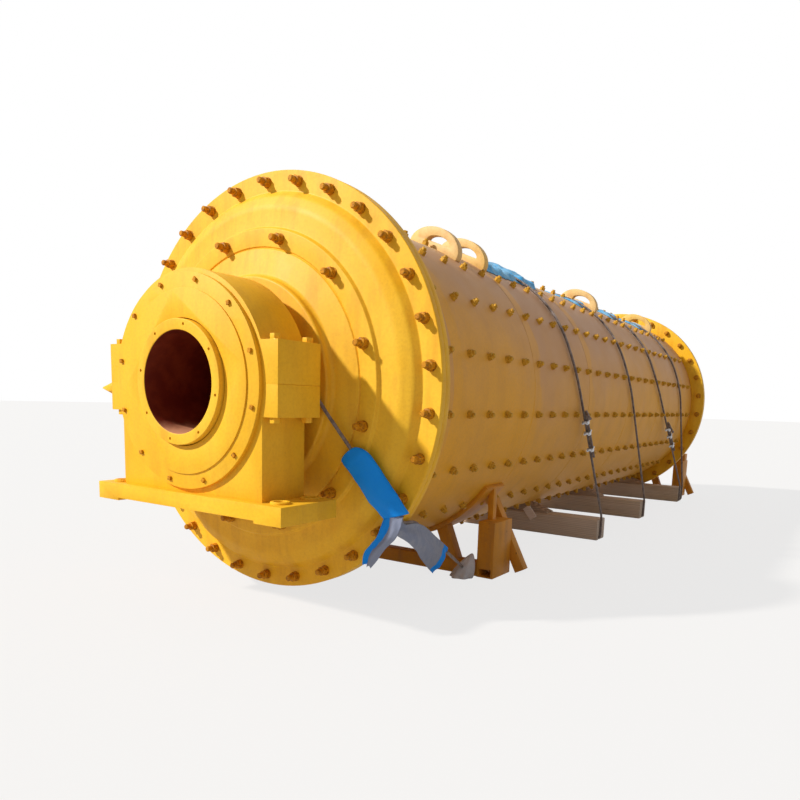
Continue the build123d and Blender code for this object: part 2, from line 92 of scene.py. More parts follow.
# The cast head's outline in section, as (radius, height out of the flange's face, rounding)
HEAD_OUTLINE = [
    (FLANGE_RADIUS, -HEAD_FLANGE_THICKNESS, 0.003), (FLANGE_RADIUS, 0, 0.006), (1.240, 0, 0.012),
    (1.205, 0.046, 0.060), (1.130, 0.082, 0.120), (1.005, 0.090, 0.010), (0.993, 0.115, 0.009),
    (0.882, 0.1195, 0.003), (0.874, 0.110, 0.002), (0.866, 0.1205, 0.003), (BOSS_RADIUS, 0.150, 0.030),
    (BOSS_RADIUS, BOSS_HEIGHT, 0.016), (JOURNAL_RADIUS, BOSS_HEIGHT, 0.014),
    (JOURNAL_RADIUS, 0.664, 0.004), (0.368, 0.664, 0.003), (0.368, SPIGOT_HEIGHT, 0.005),
    (BORE_RADIUS, SPIGOT_HEIGHT, 0.006), (BORE_RADIUS, 0.058, 0.010), (0.870, 0.058, 0.010),
    (0.870, 0.020, 0.010), (SHELL_BORE_RADIUS, 0.020, 0.010),
    (SHELL_BORE_RADIUS, -HEAD_FLANGE_THICKNESS, 0.002)]

# Numbers of sides of round pieces
HEAD_SIDES = 144
SEAM_SIDES = 180
LUG_SIDES = 56
HOLE_RIM_SIDES = 28
SMALL_SIDES = 14

# Circles of bolts and holes, as (count, radius, angle of the first)
SPIGOT_HOLES = (8, 0.340, 33.5)
FLANGE_BOLTS = (30, 1.302, 6)
HEAD_BOLTS = (12, 0.934, 16)
COVER_SCREWS = (12, 0.595, 17.5)
HEAD_BOLT_HEIGHT = 0.117
SPIGOT_HOLE_RADIUS = 0.009
SPIGOT_HOLE_DEPTH = 0.040

# Nuts on studs, as (across flats, nut height, stud radius, how far the stud stands out)
FLANGE_NUT = (0.056, 0.036, 0.020, 0.040)
FLANGE_BACK_NUT = (0.056, 0.034, 0.019, 0.012)
HEAD_NUT = (0.058, 0.038, 0.021, 0.044)
LINER_NUT = (0.048, 0.024, 0.017, 0.016)
WASHER_HEIGHT = 0.004
SCREW_RADIUS = 0.017
SCREW_HEIGHT = 0.014

# The shell's plates, and the rows of bolts that hold its lining
FIRST_COURSE = 1.740
COURSE_LENGTH = 1.301
COURSES = 5
LINER_ROWS = 19
LINER_ROW_START = 12.05
LINER_BOLTS = 25
LINER_FIRST = 0.378
LINER_PITCH = 0.290

# Weld beads and foundation hole rims in section, as (radius, height)
BEAD_RADIUS = 0.007
BEAD_SUNK = 0.003
BEAD_OUTLINE = [(SHELL_RADIUS + rise, height) for rise, height in (
    (-BEAD_SUNK, -0.009), (0.0015, -0.006), (0.0028, 0.0), (0.0015, 0.006), (-BEAD_SUNK, 0.009))]
BEAD_WAVER = 0.0015
HOLE_RIM_OUTLINE = [(0.0345, -0.002), (0.058, -0.002), (0.058, 0.010), (0.054, 0.014), (0.038, 0.014),
                    (0.0345, 0.011)]
HOLE_INSET = 0.110
HOLE_HALF_SPACING = 0.125

# Lifting lugs, each a half-round plate with a half-round eye
LUG_ANGLE = 68
LUG_HALF_WIDTH = 0.232
LUG_RISE = 0.156
LUG_SUNK = 0.026
LUG_SHIFT = 0.028
LUG_EYE_HALF_WIDTH = 0.110
LUG_EYE_RISE = 0.052
LUG_EYE_PLACE = Vector((0.026, 0.045, 0))
LUG_ROUNDING = 0.007

# Wire ropes, as the solids have them
ROPE_RADIUS = 0.012
ROPE_CREST_RADIUS = SHELL_RADIUS + 0.008 + ROPE_RADIUS
ROPE_CRESTS = [2.575, 4.250, 5.450, 6.700]
ROPE_TIMBERS = [1, 2, 3, 3]
ROPE_SHIFTS = [-0.040, 0.0, -0.075, 0.070]
ROPE_CREST_SIDES = 8
ROPE_UNDER_TIMBER = 0.020
ROPE_STRANDS = 6
ROPE_LAY = 0.15
STEPS_PER_LAY = 7
TOUCH_GAP = 0.0003

# Rope clips: where they sit as shares of a rope's straight run, and their bent bolt
CLIP_SHARES = {1: (0.69, 0.62, 0.51), 3: (0.62, 0.55, 0.46)}
CLIP_HALF_WIDTH = 0.021
CLIP_BOLT_RADIUS = 0.0055
CLIP_BOLT_HEIGHTS = (0.034, 0.010, -0.052)
CLIP_SADDLE = ((-0.034, -0.014, -0.030), (0.034, 0.014, -0.010))
CLIP_NUT_RADIUS = 0.0125
CLIP_NUT_HEIGHT = 0.011
CLIP_NUT_BASE = -0.041

# A clipped rope's turned-back end: how far it runs past its clips as shares of the run, and where
# its tip is from there, along the run, outward and beside it
END_BELOW_CLIPS = 0.06
END_ABOVE_CLIPS = 0.03
END_TIP = (0.10, 0.09, -0.16)
KNOT_LENGTH = 0.035
KNOT_RADIUS = 0.015

# Sling round the near trunnion
SLING_LOOP_HEIGHT = 0.285
SLING_LOOP_SIDES = 10
SLING_LEAD_START = 0.100
SLING_RIM_ANGLE = -35
SLING_RIM_CLEARANCE = 0.024
SLING_FOOT_INSET = 0.092
SLING_FOOT_HEIGHT = 0.040
RIM_FRONT_HEIGHT = 0.030
RIM_CROSSING_DEPTH = 0.110

# Sheets. A pad is (start, length, how far its folds rise), and a flat is (width, length)
PADS = [(1.895, 1.050, 0.046), (4.120, 0.260, 0.024), (5.285, 0.330, 0.026), (6.550, 0.300, 0.024)]
PAD_FIRST_ANGLE = 57.0
PAD_LAST_ANGLE = 84.5
PAD_FACE_LENGTH = 0.015
PAD_LIFT = 0.0035
PAD_RAGGED_ANGLE = 1.6
PRESSED_WIDTH = 0.045
SHEET_THICKNESS = 0.0025
SLEEVE_START = 0.790
SLEEVE_LENGTH = 0.480
SLEEVE_LIFT = 0.014
SLEEVE_TOP_HALF_WIDTH = 0.015
SLEEVE_SPREAD = 0.079
SLEEVE_HALF_DEPTH = 0.014
SLEEVE_SHOULDERS = (0.26, 0.05)
SLEEVE_FLAT = (0.42, SLEEVE_LENGTH)
NARROW_TAIL_FLAT = (0.135, 0.375)
BROAD_TAIL_FLAT = (0.200, 0.790)
RAG_WEAVE = (0.50, 0.20)
RAG_HEIGHT = 0.186
RAG_RADIUS = 0.080
RAG_LEAN = Vector((0.062, 0.055, 0))
STRIP_EDGE_STEP = 0.004
STRIP_BULGE = 0.08
TAPES_PER_METRE = 320

# The light cleat on the first timber's side
CLEAT_LOW = (-0.042, -0.026, -0.075)
CLEAT_HIGH = (0.042, 0.0, 0.072)
CLEAT_X = 0.462
CLEAT_LEAN = radians(-38)

# The camera of the photograph, and sunlight from the upper left of the near end
CAMERA_PLACE = Vector((3.3809, -7.2731, 1.3720))
CAMERA_YAW = radians(33.65)
CAMERA_PITCH = radians(-8.64)
CAMERA_ROLL = radians(1.74)
CAMERA_LENS = 30.925
CAMERA_SHIFT = 0.1315
SUN_DIRECTION = Vector((0.832, 1.0, -0.924))
SUN_STRENGTH = 4.3
SUN_SPREAD = radians(3.0)
SUN_COLOUR = (1.0, 0.97, 0.92)
SKY_STRENGTH = 0.34
FLOOR_WHITENING = 0.76
FLOOR_SIZE = 160
FLOOR_MIDDLE = (0, 30, 0)

# Colours
WHITE = (1, 1, 1, 1)
BLACK = (0, 0, 0, 1)
YELLOW = (0.85, 0.455, 0.010, 1)
PALE_YELLOW = (0.90, 0.58, 0.055, 1)
OCHRE = (0.82, 0.385, 0.006, 1)
DUSTY_OCHRE = (0.62, 0.35, 0.12, 1)
RUSTY_STAIN = (0.46, 0.15, 0.008, 1)
BROWN_STAIN = (0.34, 0.15, 0.05, 1)
RUST = (0.16, 0.065, 0.025, 1)
DARK_PRIMER = (0.125, 0.010, 0.003, 1)
RED_PRIMER = (0.200, 0.026, 0.007, 1)
# Pale pink-brown along the bore's bottom: painted sunlight on its lower side
BORE_PAINTED_SUNLIGHT = (0.66, 0.30, 0.17, 1)
SHELL_PRIMER = (0.16, 0.018, 0.005, 1)
# Mauve-brown over the shell's upper side: painted shade with a sky tint, mixed with a tone per plate course
MAUVE_PAINTED_SHADE_AND_TONE = (0.55, 0.30, 0.155, 1)
# Paler colour along the shell's top: a painted highlight where the sun grazes it
TOP_PAINTED_HIGHLIGHT = (0.84, 0.63, 0.33, 1)
# Near-black in the timbers' splits: painted shade inside the cracks
SPLIT_PAINTED_SHADE = (0.03, 0.022, 0.016, 1)
GREASE = (0.125, 0.092, 0.080, 1)
WIRE_GREY = (0.25, 0.20, 0.18, 1)
DULL_ZINC = (0.42, 0.44, 0.47, 1)
BRIGHT_ZINC = (0.72, 0.73, 0.75, 1)
BLUE = (0.0, 0.29, 1.0, 1)
DUSTY_BLUE = (0.02, 0.36, 0.95, 1)
GREY_BACK = (0.24, 0.275, 0.39, 1)
GREY_DUST = (0.40, 0.42, 0.50, 1)
FLOOR_GREY = (0.56, 0.54, 0.52, 1)
SKY = (1.0, 0.96, 0.92, 1)

# Paints, as (fresh, faded, stain)
YELLOW_PAINT = (YELLOW, PALE_YELLOW, RUSTY_STAIN)
SHELL_PAINT = (OCHRE, DUSTY_OCHRE, BROWN_STAIN)
LUG_PAINT = ((0.80, 0.50, 0.12, 1), (0.78, 0.55, 0.26, 1), RUSTY_STAIN)
STAND_PAINT = ((0.70, 0.29, 0.010, 1), (0.60, 0.26, 0.04, 1), BROWN_STAIN)
PAINT_GLOSS = 0.28

# Woods, as (light, dark, grey), and fasteners, as (worn, bright, dark)
BEAM_WOOD = ((0.78, 0.62, 0.45, 1), (0.42, 0.30, 0.20, 1), (0.70, 0.59, 0.53, 1))
CHOCK_WOOD = ((0.60, 0.42, 0.27, 1), (0.28, 0.17, 0.10, 1), (0.50, 0.40, 0.34, 1))
PALE_WOOD = ((0.95, 0.82, 0.76, 1), (0.85, 0.69, 0.61, 1), (0.88, 0.78, 0.74, 1))
RUSTED_NUTS = ((0.36, 0.130, 0.001, 1), (0.62, 0.26, 0.002, 1), (0.12, 0.045, 0.003, 1))
PAINTED_NUTS = ((0.48, 0.235, 0.012, 1), (0.66, 0.36, 0.030, 1), (0.17, 0.075, 0.010, 1))


# Helpers for pieces

def leave_edit():
    bpy.ops.object.mode_set(mode="OBJECT")


def deselect_all():
    if bpy.context.mode != "OBJECT":
        leave_edit()
    bpy.ops.object.select_all(action="DESELECT")


def select_only(*pieces):
    deselect_all()
    for piece in pieces:
        piece.select_set(True)
    bpy.context.view_layer.objects.active = pieces[0]


def edit_all(piece, kind="VERT"):
    """Enters edit mode on a piece with all of it selected, by corners, edges or faces."""
    select_only(piece)
    bpy.ops.object.mode_set(mode="EDIT")
    bpy.ops.mesh.select_mode(type=kind)
    bpy.ops.mesh.select_all(action="SELECT")


def apply_place(piece):
    """Moves a piece's place, turn and size into its mesh, so that its object is at the origin."""
    select_only(piece)
    bpy.ops.object.transform_apply(location=True, rotation=True, scale=True)
    return piece


def finish_piece(piece, name, material, body=DRUM, smooth_angle=35):
    apply_place(piece)
    piece.name = name
    piece.data.name = name
    piece.data.materials.clear()
    piece.data.materials.append(material)
    bpy.ops.object.shade_smooth_by_angle(angle=radians(smooth_angle))
    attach(piece, body)


def joined(pieces):
    select_only(*pieces)
    bpy.ops.object.join()
    return bpy.context.object


def use_modifier(piece, kind, **settings):
    """Adds a modifier with these settings and applies it."""
    select_only(piece)
    modifier = piece.modifiers.new(kind.title(), kind)
    for key, value in settings.items():
        setattr(modifier, key, value)
    bpy.ops.object.modifier_apply(modifier=modifier.name)


def bevel(piece, width, segments=2):
    use_modifier(piece, "BEVEL", width=width, segments=segments, limit_method="ANGLE",
                 angle_limit=radians(40))


def cut(piece, cutter):
    use_modifier(piece, "BOOLEAN", object=cutter, operation="DIFFERENCE", solver="EXACT")
    bpy.data.objects.remove(cutter)


def add_cylinder(sides, radius, depth, base_z=0.0):
    """A cylinder that stands on the XY plane at base_z."""
    deselect_all()
    bpy.ops.mesh.primitive_cylinder_add(vertices=sides, radius=radius, depth=depth,
                                        location=(0, 0, base_z + depth / 2))
    return apply_place(bpy.context.object)


def add_box(low, high):
    low, high = Vector(low), Vector(high)
    deselect_all()
    bpy.ops.mesh.primitive_cube_add(size=1, location=(low + high) / 2)
    box = bpy.context.object
    box.scale = high - low
    return apply_place(box)


def standing(place, *axes):
    """The matrix that stands a piece at a place with its own X, Y and Z along these axes."""
    return Matrix.Translation(place) @ Matrix(axes).transposed().to_4x4()


def pointing(place, direction, spin=0.0):
    """The matrix that stands a piece at a place with its +Z along a direction."""
    turn = Vector(direction).to_track_quat("Z", "Y").to_matrix().to_4x4()
    return Matrix.Translation(place) @ turn @ Matrix.Rotation(spin, 4, "Z")


def repeated(master, places):
    """Copies of a master piece at each place, each with its own mesh, joined; the master goes."""
    copies = []
    for place in places:
        copy = master.copy()
        copy.data = master.data.copy()
        bpy.context.collection.objects.link(copy)
        copy.data.transform(place)
        copies.append(copy)
    bpy.data.objects.remove(master)
    return joined(copies)


def around_axis(radius, y, angle):
    return Vector((radius * cos(radians(angle)), y, AXIS_HEIGHT + radius * sin(radians(angle))))


# Shader trees

class Wiring:
    """Short ways to add and link nodes in one tree; its noise runs over the place that it is given."""

    def __init__(self, tree, place=None):
        self.tree = tree
        self.place = place

    def put(self, socket, value):
        if isinstance(value, bpy.types.NodeSocket):
            self.tree.links.new(value, socket)
        else:
            socket.default_value = value

    def add(self, kind, settings=None, **values):
        """A node with these settings, and with values or links in its sockets of those names."""
        node = self.tree.nodes.new("ShaderNode" + kind)
        for key, value in (settings or {}).items():
            setattr(node, key, value)
        for label, value in values.items():
            self.put(node.inputs[label.replace("_", " ")], value)
        return node

    def maths(self, operation, first, second=0.0):
        node = self.add("Math", {"operation": operation})
        self.put(node.inputs[0], first)
        self.put(node.inputs[1], second)
        return node.outputs[0]

    def times(self, first, second):
        return self.maths("MULTIPLY", first, second)

    def plus(self, first, second, share=None):
        """The first value with the second added, or with a share of it."""
        return self.maths("ADD", first, second if share is None else self.times(second, share))

    def band(self, value, low, high, amount=None):
        """0 below low, 1 or the amount above high, smooth between."""
        node = self.add("MapRange", {"interpolation_type": "SMOOTHSTEP"}, Value=value, From_Min=low,
                        From_Max=high)
        step = node.outputs["Result"]
        return step if amount is None else self.times(step, amount)

    def mix(self, factor, first, second, blend="MIX"):
        node = self.add("Mix", {"data_type": "RGBA", "blend_type": blend}, Factor=factor, A=first, B=second)
        return node.outputs["Result"]

    def stretched(self, scale):
        return self.add("Mapping", Vector=self.place, Scale=scale).outputs["Vector"]

    def noise(self, scale, detail, roughness, distortion=0.0, stretch=None):
        """Noise over the piece's places, stretched first where a stretch is given."""
        place = self.stretched(stretch) if stretch else self.place
        node = self.add("TexNoise", Vector=place, Scale=scale, Detail=detail, Roughness=roughness,
                        Distortion=distortion)
        return node.outputs["Fac"]

    def parts(self, vector):
        return self.add("SeparateXYZ", Vector=vector).outputs


class Effect(Wiring):
    """A node group with named inputs and outputs, for what several finishes share."""

    def __init__(self, name, colours=(), numbers=(), vectors=("Place",)):
        super().__init__(bpy.data.node_groups.new(name, "ShaderNodeTree"))
        for kind, labels in (("Vector", vectors), ("Color", colours), ("Float", numbers)):
            for label in labels:
                self.tree.interface.new_socket(label, in_out="INPUT", socket_type="NodeSocket" + kind)
        self.given = self.tree.nodes.new("NodeGroupInput").outputs
        self.place = self.given["Place"]

    def give(self, **results):
        """Names the group's outputs, links them and gives the group back."""
        for label in results:
            kind = "NodeSocketColor" if label == "Colour" else "NodeSocketFloat"
            self.tree.interface.new_socket(label, in_out="OUTPUT", socket_type=kind)
        leave = self.tree.nodes.new("NodeGroupOutput")
        for label, value in results.items():
            self.put(leave.inputs[label], value)
        return self.tree


def build_paint_group():
    """Brushed coats over steel: patchy tone, runs, fine grain and chips of rust."""
    wire = Effect("weathered_paint", ["Paint", "Faded", "Stain"], ["Fading", "Staining", "Chips"])
    broad = wire.noise(1.3, 3, 0.5)
    patch = wire.noise(5.0, 5, 0.6)
    fine = wire.noise(60.0, 4, 0.6)
    runs = wire.noise(1.0, 4, 0.6, stretch=(9, 9, 1.1))
    fade = wire.band(wire.plus(broad, patch, 0.5), 0.55, 0.95, wire.given["Fading"])
    stain = wire.band(wire.plus(runs, patch, 0.45), 0.66, 0.95, wire.given["Staining"])
    chips = wire.band(wire.noise(22.0, 6, 0.62), 0.68, 0.72, wire.given["Chips"])
    colour = wire.mix(fade, wire.given["Paint"], wire.given["Faded"])
    colour = wire.mix(stain, colour, wire.given["Stain"])
    colour = wire.mix(wire.band(fine, 0.35, 0.75, 0.16), colour, wire.given["Stain"])
    colour = wire.mix(chips, colour, RUST)
    roughness = wire.plus(wire.plus(0.42, patch, 0.25), chips, 0.3)
    height = wire.plus(wire.plus(wire.times(fine, 0.35), patch, 0.65), chips, -0.4)
    return wire.give(Colour=colour, Roughness=roughness, Height=height)


def build_axis_group():
    """How far a point is from the drum's axis and along it, and how much it faces up from it."""
    wire = Effect("round_the_axis")
    x, y, z = wire.parts(wire.place)
    level = wire.plus(z, -AXIS_HEIGHT)
    radius = wire.maths("SQRT", wire.plus(wire.times(x, x), wire.times(level, level)))
    return wire.give(Radius=radius, Along=y, Upward=wire.maths("DIVIDE", level, radius))


def build_weave_group():
    """A plain weave of flat tapes, from a piece's own UV map in metres, with dust and creases."""
    wire = Effect("tape_weave", ["Tape", "Dust"], ["Dustiness"], ["Place", "Cloth place"])
    across, along, _ = wire.parts(wire.given["Cloth place"])
    warp = wire.maths("SINE", wire.times(across, TAPES_PER_METRE * pi))
    weft = wire.maths("SINE", wire.times(along, TAPES_PER_METRE * pi))
    weave = wire.times(warp, weft)
    crease = wire.noise(9.0, 5, 0.6, 0.6)
    dust = wire.band(wire.plus(crease, wire.noise(28.0, 4, 0.6), 0.4), 0.5, 0.9, wire.given["Dustiness"])
    colour = wire.mix(dust, wire.given["Tape"], wire.given["Dust"])
    colour = wire.mix(wire.band(weave, -1.0, 1.0, 0.18), colour, BLACK, "MULTIPLY")
    return wire.give(Colour=colour, Roughness=wire.plus(0.5, dust, 0.4),
                     Height=wire.plus(crease, weave, 0.25))


def build_wood_group():
    """Sawn timber with its grain along X: growth lines, splits with painted shade in them, and weathered
    grey.
    """
    wire = Effect("sawn_timber", ["Light wood", "Dark wood", "Grey"], ["Weathering"])
    dark = wire.given["Dark wood"]
    warped = wire.noise(1.0, 3, 0.5, 0.4, (0.6, 3, 3))
    rings = wire.add("TexWave", {"wave_type": "BANDS", "bands_direction": "Z"}, Scale=2.2, Detail=3.0,
                     Distortion=6.0, Vector=wire.stretched((0.35, 8, 8))).outputs["Fac"]
    grain = wire.noise(1.0, 4, 0.7, stretch=(3, 90, 90))
    splits = wire.band(wire.noise(1.0, 3, 0.5, stretch=(0.9, 26, 26)), 0.66, 0.70)
    colour = wire.mix(rings, wire.given["Light wood"], dark)
    colour = wire.mix(wire.band(grain, 0.35, 0.7, 0.55), colour, dark)
    colour = wire.mix(wire.band(warped, 0.35, 0.65, wire.given["Weathering"]), colour, wire.given["Grey"])
    # The near-black in the splits is painted shade.
    colour = wire.mix(splits, colour, SPLIT_PAINTED_SHADE)
    return wire.give(Colour=colour, Roughness=wire.plus(0.75, grain, 0.15),
                     Height=wire.plus(wire.plus(grain, rings, 0.3), splits, -1.5))


PAINT_GROUP = build_paint_group()
AXIS_GROUP = build_axis_group()
WEAVE_GROUP = build_weave_group()
WOOD_GROUP = build_wood_group()


# Finishes

class Finish(Wiring):
    """A material with one Principled shader and a Bump node."""

    def __init__(self, name, bump, distance, metallic=0.0, specular=0.5):
        self.material = bpy.data.materials.new(name)
        self.material.use_nodes = True
        super().__init__(self.material.node_tree)
        self.shader = self.tree.nodes["Principled BSDF"]
        self.put(self.shader.inputs["Metallic"], metallic)
        self.put(self.shader.inputs["Specular IOR Level"], specular)
        self.bump = self.add("Bump", Strength=bump, Distance=distance)
        self.put(self.shader.inputs["Normal"], self.bump.outputs["Normal"])
        self.place = self.add("TexCoord").outputs["Object"]

    def use(self, group, **values):
        """What a node group puts out with these values."""
        return self.add("Group", {"node_tree": group}, Place=self.place, **values).outputs

    def coat(self, paint, wear):
        """Weathered paint, whose wear is (fading, staining, chips)."""
        fresh, faded, stain = paint
        fading, staining, chips = wear
        return self.use(PAINT_GROUP, Paint=fresh, Faded=faded, Stain=stain, Fading=fading,
                        Staining=staining, Chips=chips)

    def surface(self, colour, roughness, height):
        """Links what changes over the surface and gives the material back."""
        self.put(self.shader.inputs["Base Color"], colour)
        self.put(self.shader.inputs["Roughness"], roughness)
        self.put(self.bump.inputs["Height"], height)
        return self.material


def painted_finish(name, paint, wear, bore=None):
    """Weathered paint; in a bore, as (radius, reach), red-brown primer with painted sunlight, a pale
    pink-brown, along its bottom.
    """
    wire = Finish(name, 0.25, 0.004, specular=PAINT_GLOSS)
    coat = wire.coat(paint, wear)
    colour = coat["Colour"]
    if bore:
        radius, reach = bore
        axis = wire.use(AXIS_GROUP)
        inside = wire.times(wire.maths("LESS_THAN", axis["Radius"], radius),
                            wire.maths("LESS_THAN", wire.maths("ABSOLUTE", axis["Along"]), reach))
        primer = wire.mix(wire.band(wire.noise(7.0, 5, 0.6), 0.35, 0.7), DARK_PRIMER, RED_PRIMER)
        # The pale pink-brown along the bore's bottom is painted sunlight on its lower side.
        painted_light_band = wire.band(wire.plus(axis["Upward"], wire.noise(9.0, 4, 0.6), 0.25), -0.62, -0.86)
        colour = wire.mix(inside, colour, wire.mix(painted_light_band, primer, BORE_PAINTED_SUNLIGHT))
    return wire.surface(colour, coat["Roughness"], coat["Height"])


def shell_paint():
    """The shell's coat: fresh below, mauve-brown painted shade above, thinner beside the seams, a painted
    highlight on top.
    """
    wire = Finish("shell_paint", 0.25, 0.004, specular=PAINT_GLOSS)
    coat = wire.coat(SHELL_PAINT, (0.2, 0.10, 0.15))
    axis = wire.use(AXIS_GROUP)
    up = axis["Upward"]
    from_first = wire.plus(axis["Along"], COURSE_LENGTH - FIRST_COURSE - NEAR_FACE)
    courses = wire.maths("DIVIDE", from_first, COURSE_LENGTH)
    shuffled = wire.maths("SINE", wire.times(wire.maths("FLOOR", courses), 78.2))
    tone = wire.maths("FRACT", wire.times(shuffled, 43.7))
    blotch = wire.noise(1.1, 4, 0.55)
    # The mauve-brown over the upper side is painted shade with a sky tint; its tone per plate course and its
    # blotches are the coat's own.
    painted_shade_and_tone = wire.plus(wire.times(up, 0.8), wire.plus(wire.times(tone, 0.45), blotch, 0.9))
    from_seam = wire.plus(wire.maths("FRACT", courses), wire.noise(3.5, 3, 0.6), 0.16)
    kept = wire.plus(wire.band(from_seam, 0.16, 0.20, 0.55), 0.45)
    painted_shade_and_tone = wire.times(wire.band(painted_shade_and_tone, 0.25, 1.25, 0.95), kept)
    colour = wire.mix(painted_shade_and_tone, coat["Colour"], MAUVE_PAINTED_SHADE_AND_TONE)
    # The paler colour along the top is a painted highlight where the sun grazes the shell.
    painted_light_band = wire.band(wire.plus(up, blotch, 0.08), 0.86, 1.01, 0.65)
    colour = wire.mix(painted_light_band, colour, TOP_PAINTED_HIGHLIGHT)
    inside = wire.maths("LESS_THAN", axis["Radius"], SHELL_BORE_RADIUS + 0.004)
    colour = wire.mix(inside, colour, SHELL_PRIMER)
    return wire.surface(colour, coat["Roughness"], coat["Height"])


def timber_finish(name, wood_colours, weathering):
    light, dark, grey = wood_colours
    wire = Finish(name, 0.5, 0.004)
    wood = wire.use(WOOD_GROUP, Light_wood=light, Dark_wood=dark, Grey=grey, Weathering=weathering)
    return wire.surface(wood["Colour"], wood["Roughness"], wood["Height"])


def nut_finish(name, nut_colours):
    """Nuts and studs: rust-tinted primer with paint left in places."""
    worn, bright, dark = nut_colours
    wire = Finish(name, 0.3, 0.002, specular=PAINT_GLOSS)
    blotch = wire.noise(35.0, 5, 0.65)
    colour = wire.mix(wire.band(blotch, 0.35, 0.62), worn, bright)
    colour = wire.mix(wire.band(wire.noise(90.0, 3, 0.6), 0.56, 0.7), colour, dark)
    return wire.surface(colour, wire.plus(0.45, blotch, 0.35), blotch)


def rope_finish():
    """Greased wire strands, dark with a dull shine."""
    wire = Finish("wire_rope", 0.3, 0.001, 0.4)
    grime = wire.noise(24.0, 5, 0.6)
    colour = wire.mix(wire.band(grime, 0.35, 0.7), GREASE, WIRE_GREY)
    return wire.surface(colour, wire.plus(0.38, grime, 0.3), wire.noise(400.0, 2, 0.5))


def zinc_finish():
    """Galvanised rope clips, bright with a spangle."""
    wire = Finish("zinc_clips", 0.2, 0.001, 0.85)
    spangle = wire.noise(120.0, 3, 0.6)
    return wire.surface(wire.mix(spangle, DULL_ZINC, BRIGHT_ZINC), wire.plus(0.3, spangle, 0.25), spangle)


def cloth_finish(name, tape, dust, dustiness, edging=None):
    """Woven sheeting. An edging, as (colour, axis, low, high), is its other colour beyond a fold line."""
    wire = Finish(name, 0.35, 0.002, specular=0.2)
    cloth_place = wire.add("TexCoord").outputs["UV"]
    weave = wire.use(WEAVE_GROUP, Cloth_place=cloth_place, Tape=tape, Dust=dust, Dustiness=dustiness)
    colour = weave["Colour"]
    if edging:
        other, axis, low, high = edging
        wandering = wire.plus(wire.parts(cloth_place)[axis], wire.noise(11.0, 3, 0.5), 0.06)
        colour = wire.mix(wire.band(wandering, low, high), colour, other)
    return wire.surface(colour, weave["Roughness"], weave["Height"])


head_finish = painted_finish("head_paint", YELLOW_PAINT, (0.45, 0.28, 0.12),
                             (BORE_RADIUS + 0.0012, -HEAD_LOW.y - 0.003))
bearing_finish = painted_finish("bearing_paint", YELLOW_PAINT, (0.35, 0.16, 0.10))
shell_finish = shell_paint()
lug_finish = painted_finish("lug_paint", LUG_PAINT, (0.8, 0.3, 0.2))
flange_finish = painted_finish("flange_paint", YELLOW_PAINT, (0.45, 0.30, 0.2))
stand_finish = painted_finish("stand_paint", STAND_PAINT, (0.5, 0.45, 0.8))
beam_finish = timber_finish("weathered_timber", BEAM_WOOD, 0.6)
chock_finish = timber_finish("chock_wood", CHOCK_WOOD, 0.5)
cleat_finish = timber_finish("pale_offcut", PALE_WOOD, 0.3)
nuts = nut_finish("rusted_fasteners", RUSTED_NUTS)
liner_nuts = nut_finish("painted_liner_bolts", PAINTED_NUTS)
wire_steel = rope_finish()
zinc = zinc_finish()
blue_cloth = cloth_finish("blue_sheeting", BLUE, DUSTY_BLUE, 0.2)
# The pads' sheeting is a lighter copy of the blue sheeting that paints sunlight on them, with more dust.
sunlit_pad_cloth = cloth_finish("sheeting_painted_sunlit", (0.05, 0.40, 0.82, 1), (0.50, 0.76, 0.90, 1), 0.6)
rag_cloth = cloth_finish("grey_rag", (0.66, 0.66, 0.74, 1), (0.80, 0.79, 0.82, 1), 0.7)
narrow_cloth = cloth_finish("narrow_tail_sheeting", BLUE, DUSTY_BLUE, 0.2, (GREY_BACK, 0, 0.080, 0.086))
broad_cloth = cloth_finish("broad_tail_sheeting", GREY_BACK, GREY_DUST, 0.7, (BLUE, 1, 0.732, 0.740))


# Construction nodes that keep their shape

def dress(names, finish, rounding=0.0):
    """A copy with merged vertices and rounded edges stands in for each node, with its own finish."""
    for name in names:
        node = frame["nodes"][name]
        copy = node.copy()
        copy.data = node.data.copy()
        copy.parent = None
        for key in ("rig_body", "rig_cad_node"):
            if key in copy:
                del copy[key]
        bpy.context.collection.objects.link(copy)
        edit_all(copy)
        bpy.ops.mesh.customdata_custom_splitnormals_clear()
        bpy.ops.mesh.remove_doubles(threshold=0.00002)
        if rounding:
            bpy.ops.mesh.dissolve_limited(angle_limit=radians(0.5))
        leave_edit()
        if rounding:
            bevel(copy, rounding)
        body = BEARING if name in frame["record"]["behaviour"]["bodies"][BEARING] else DRUM
        finish_piece(copy, "dressed_" + name, finish, body, 32)
        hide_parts(name)


def at_both_ends(*pieces):
    return [f"{end}_{piece}" for end, _, _ in ENDS for piece in pieces]


def dress_construction():
    dress(at_both_ends("shell_flange"), flange_finish, 0.004)
    dress(["shell_tube"], shell_finish)
    dress(at_both_ends("base_plate", "lower_housing", "housing_cap"), bearing_finish, 0.005)
    dress(at_both_ends("end_ring", "end_cover"), bearing_finish, 0.002)
    dress(at_both_ends("ear_studs") + ["near_oil_fitting"], bearing_finish, 0.003)
    stands = [name for name in frame["nodes"] if name.startswith(("near_saddle", "far_trestle"))]
    dress(stands, stand_finish, 0.003)
    dress([f"timber_{number}" for number in (1, 2, 3)], beam_finish, 0.004)
    dress(["timber_chocks"], chock_finish, 0.003)


# Turned pieces

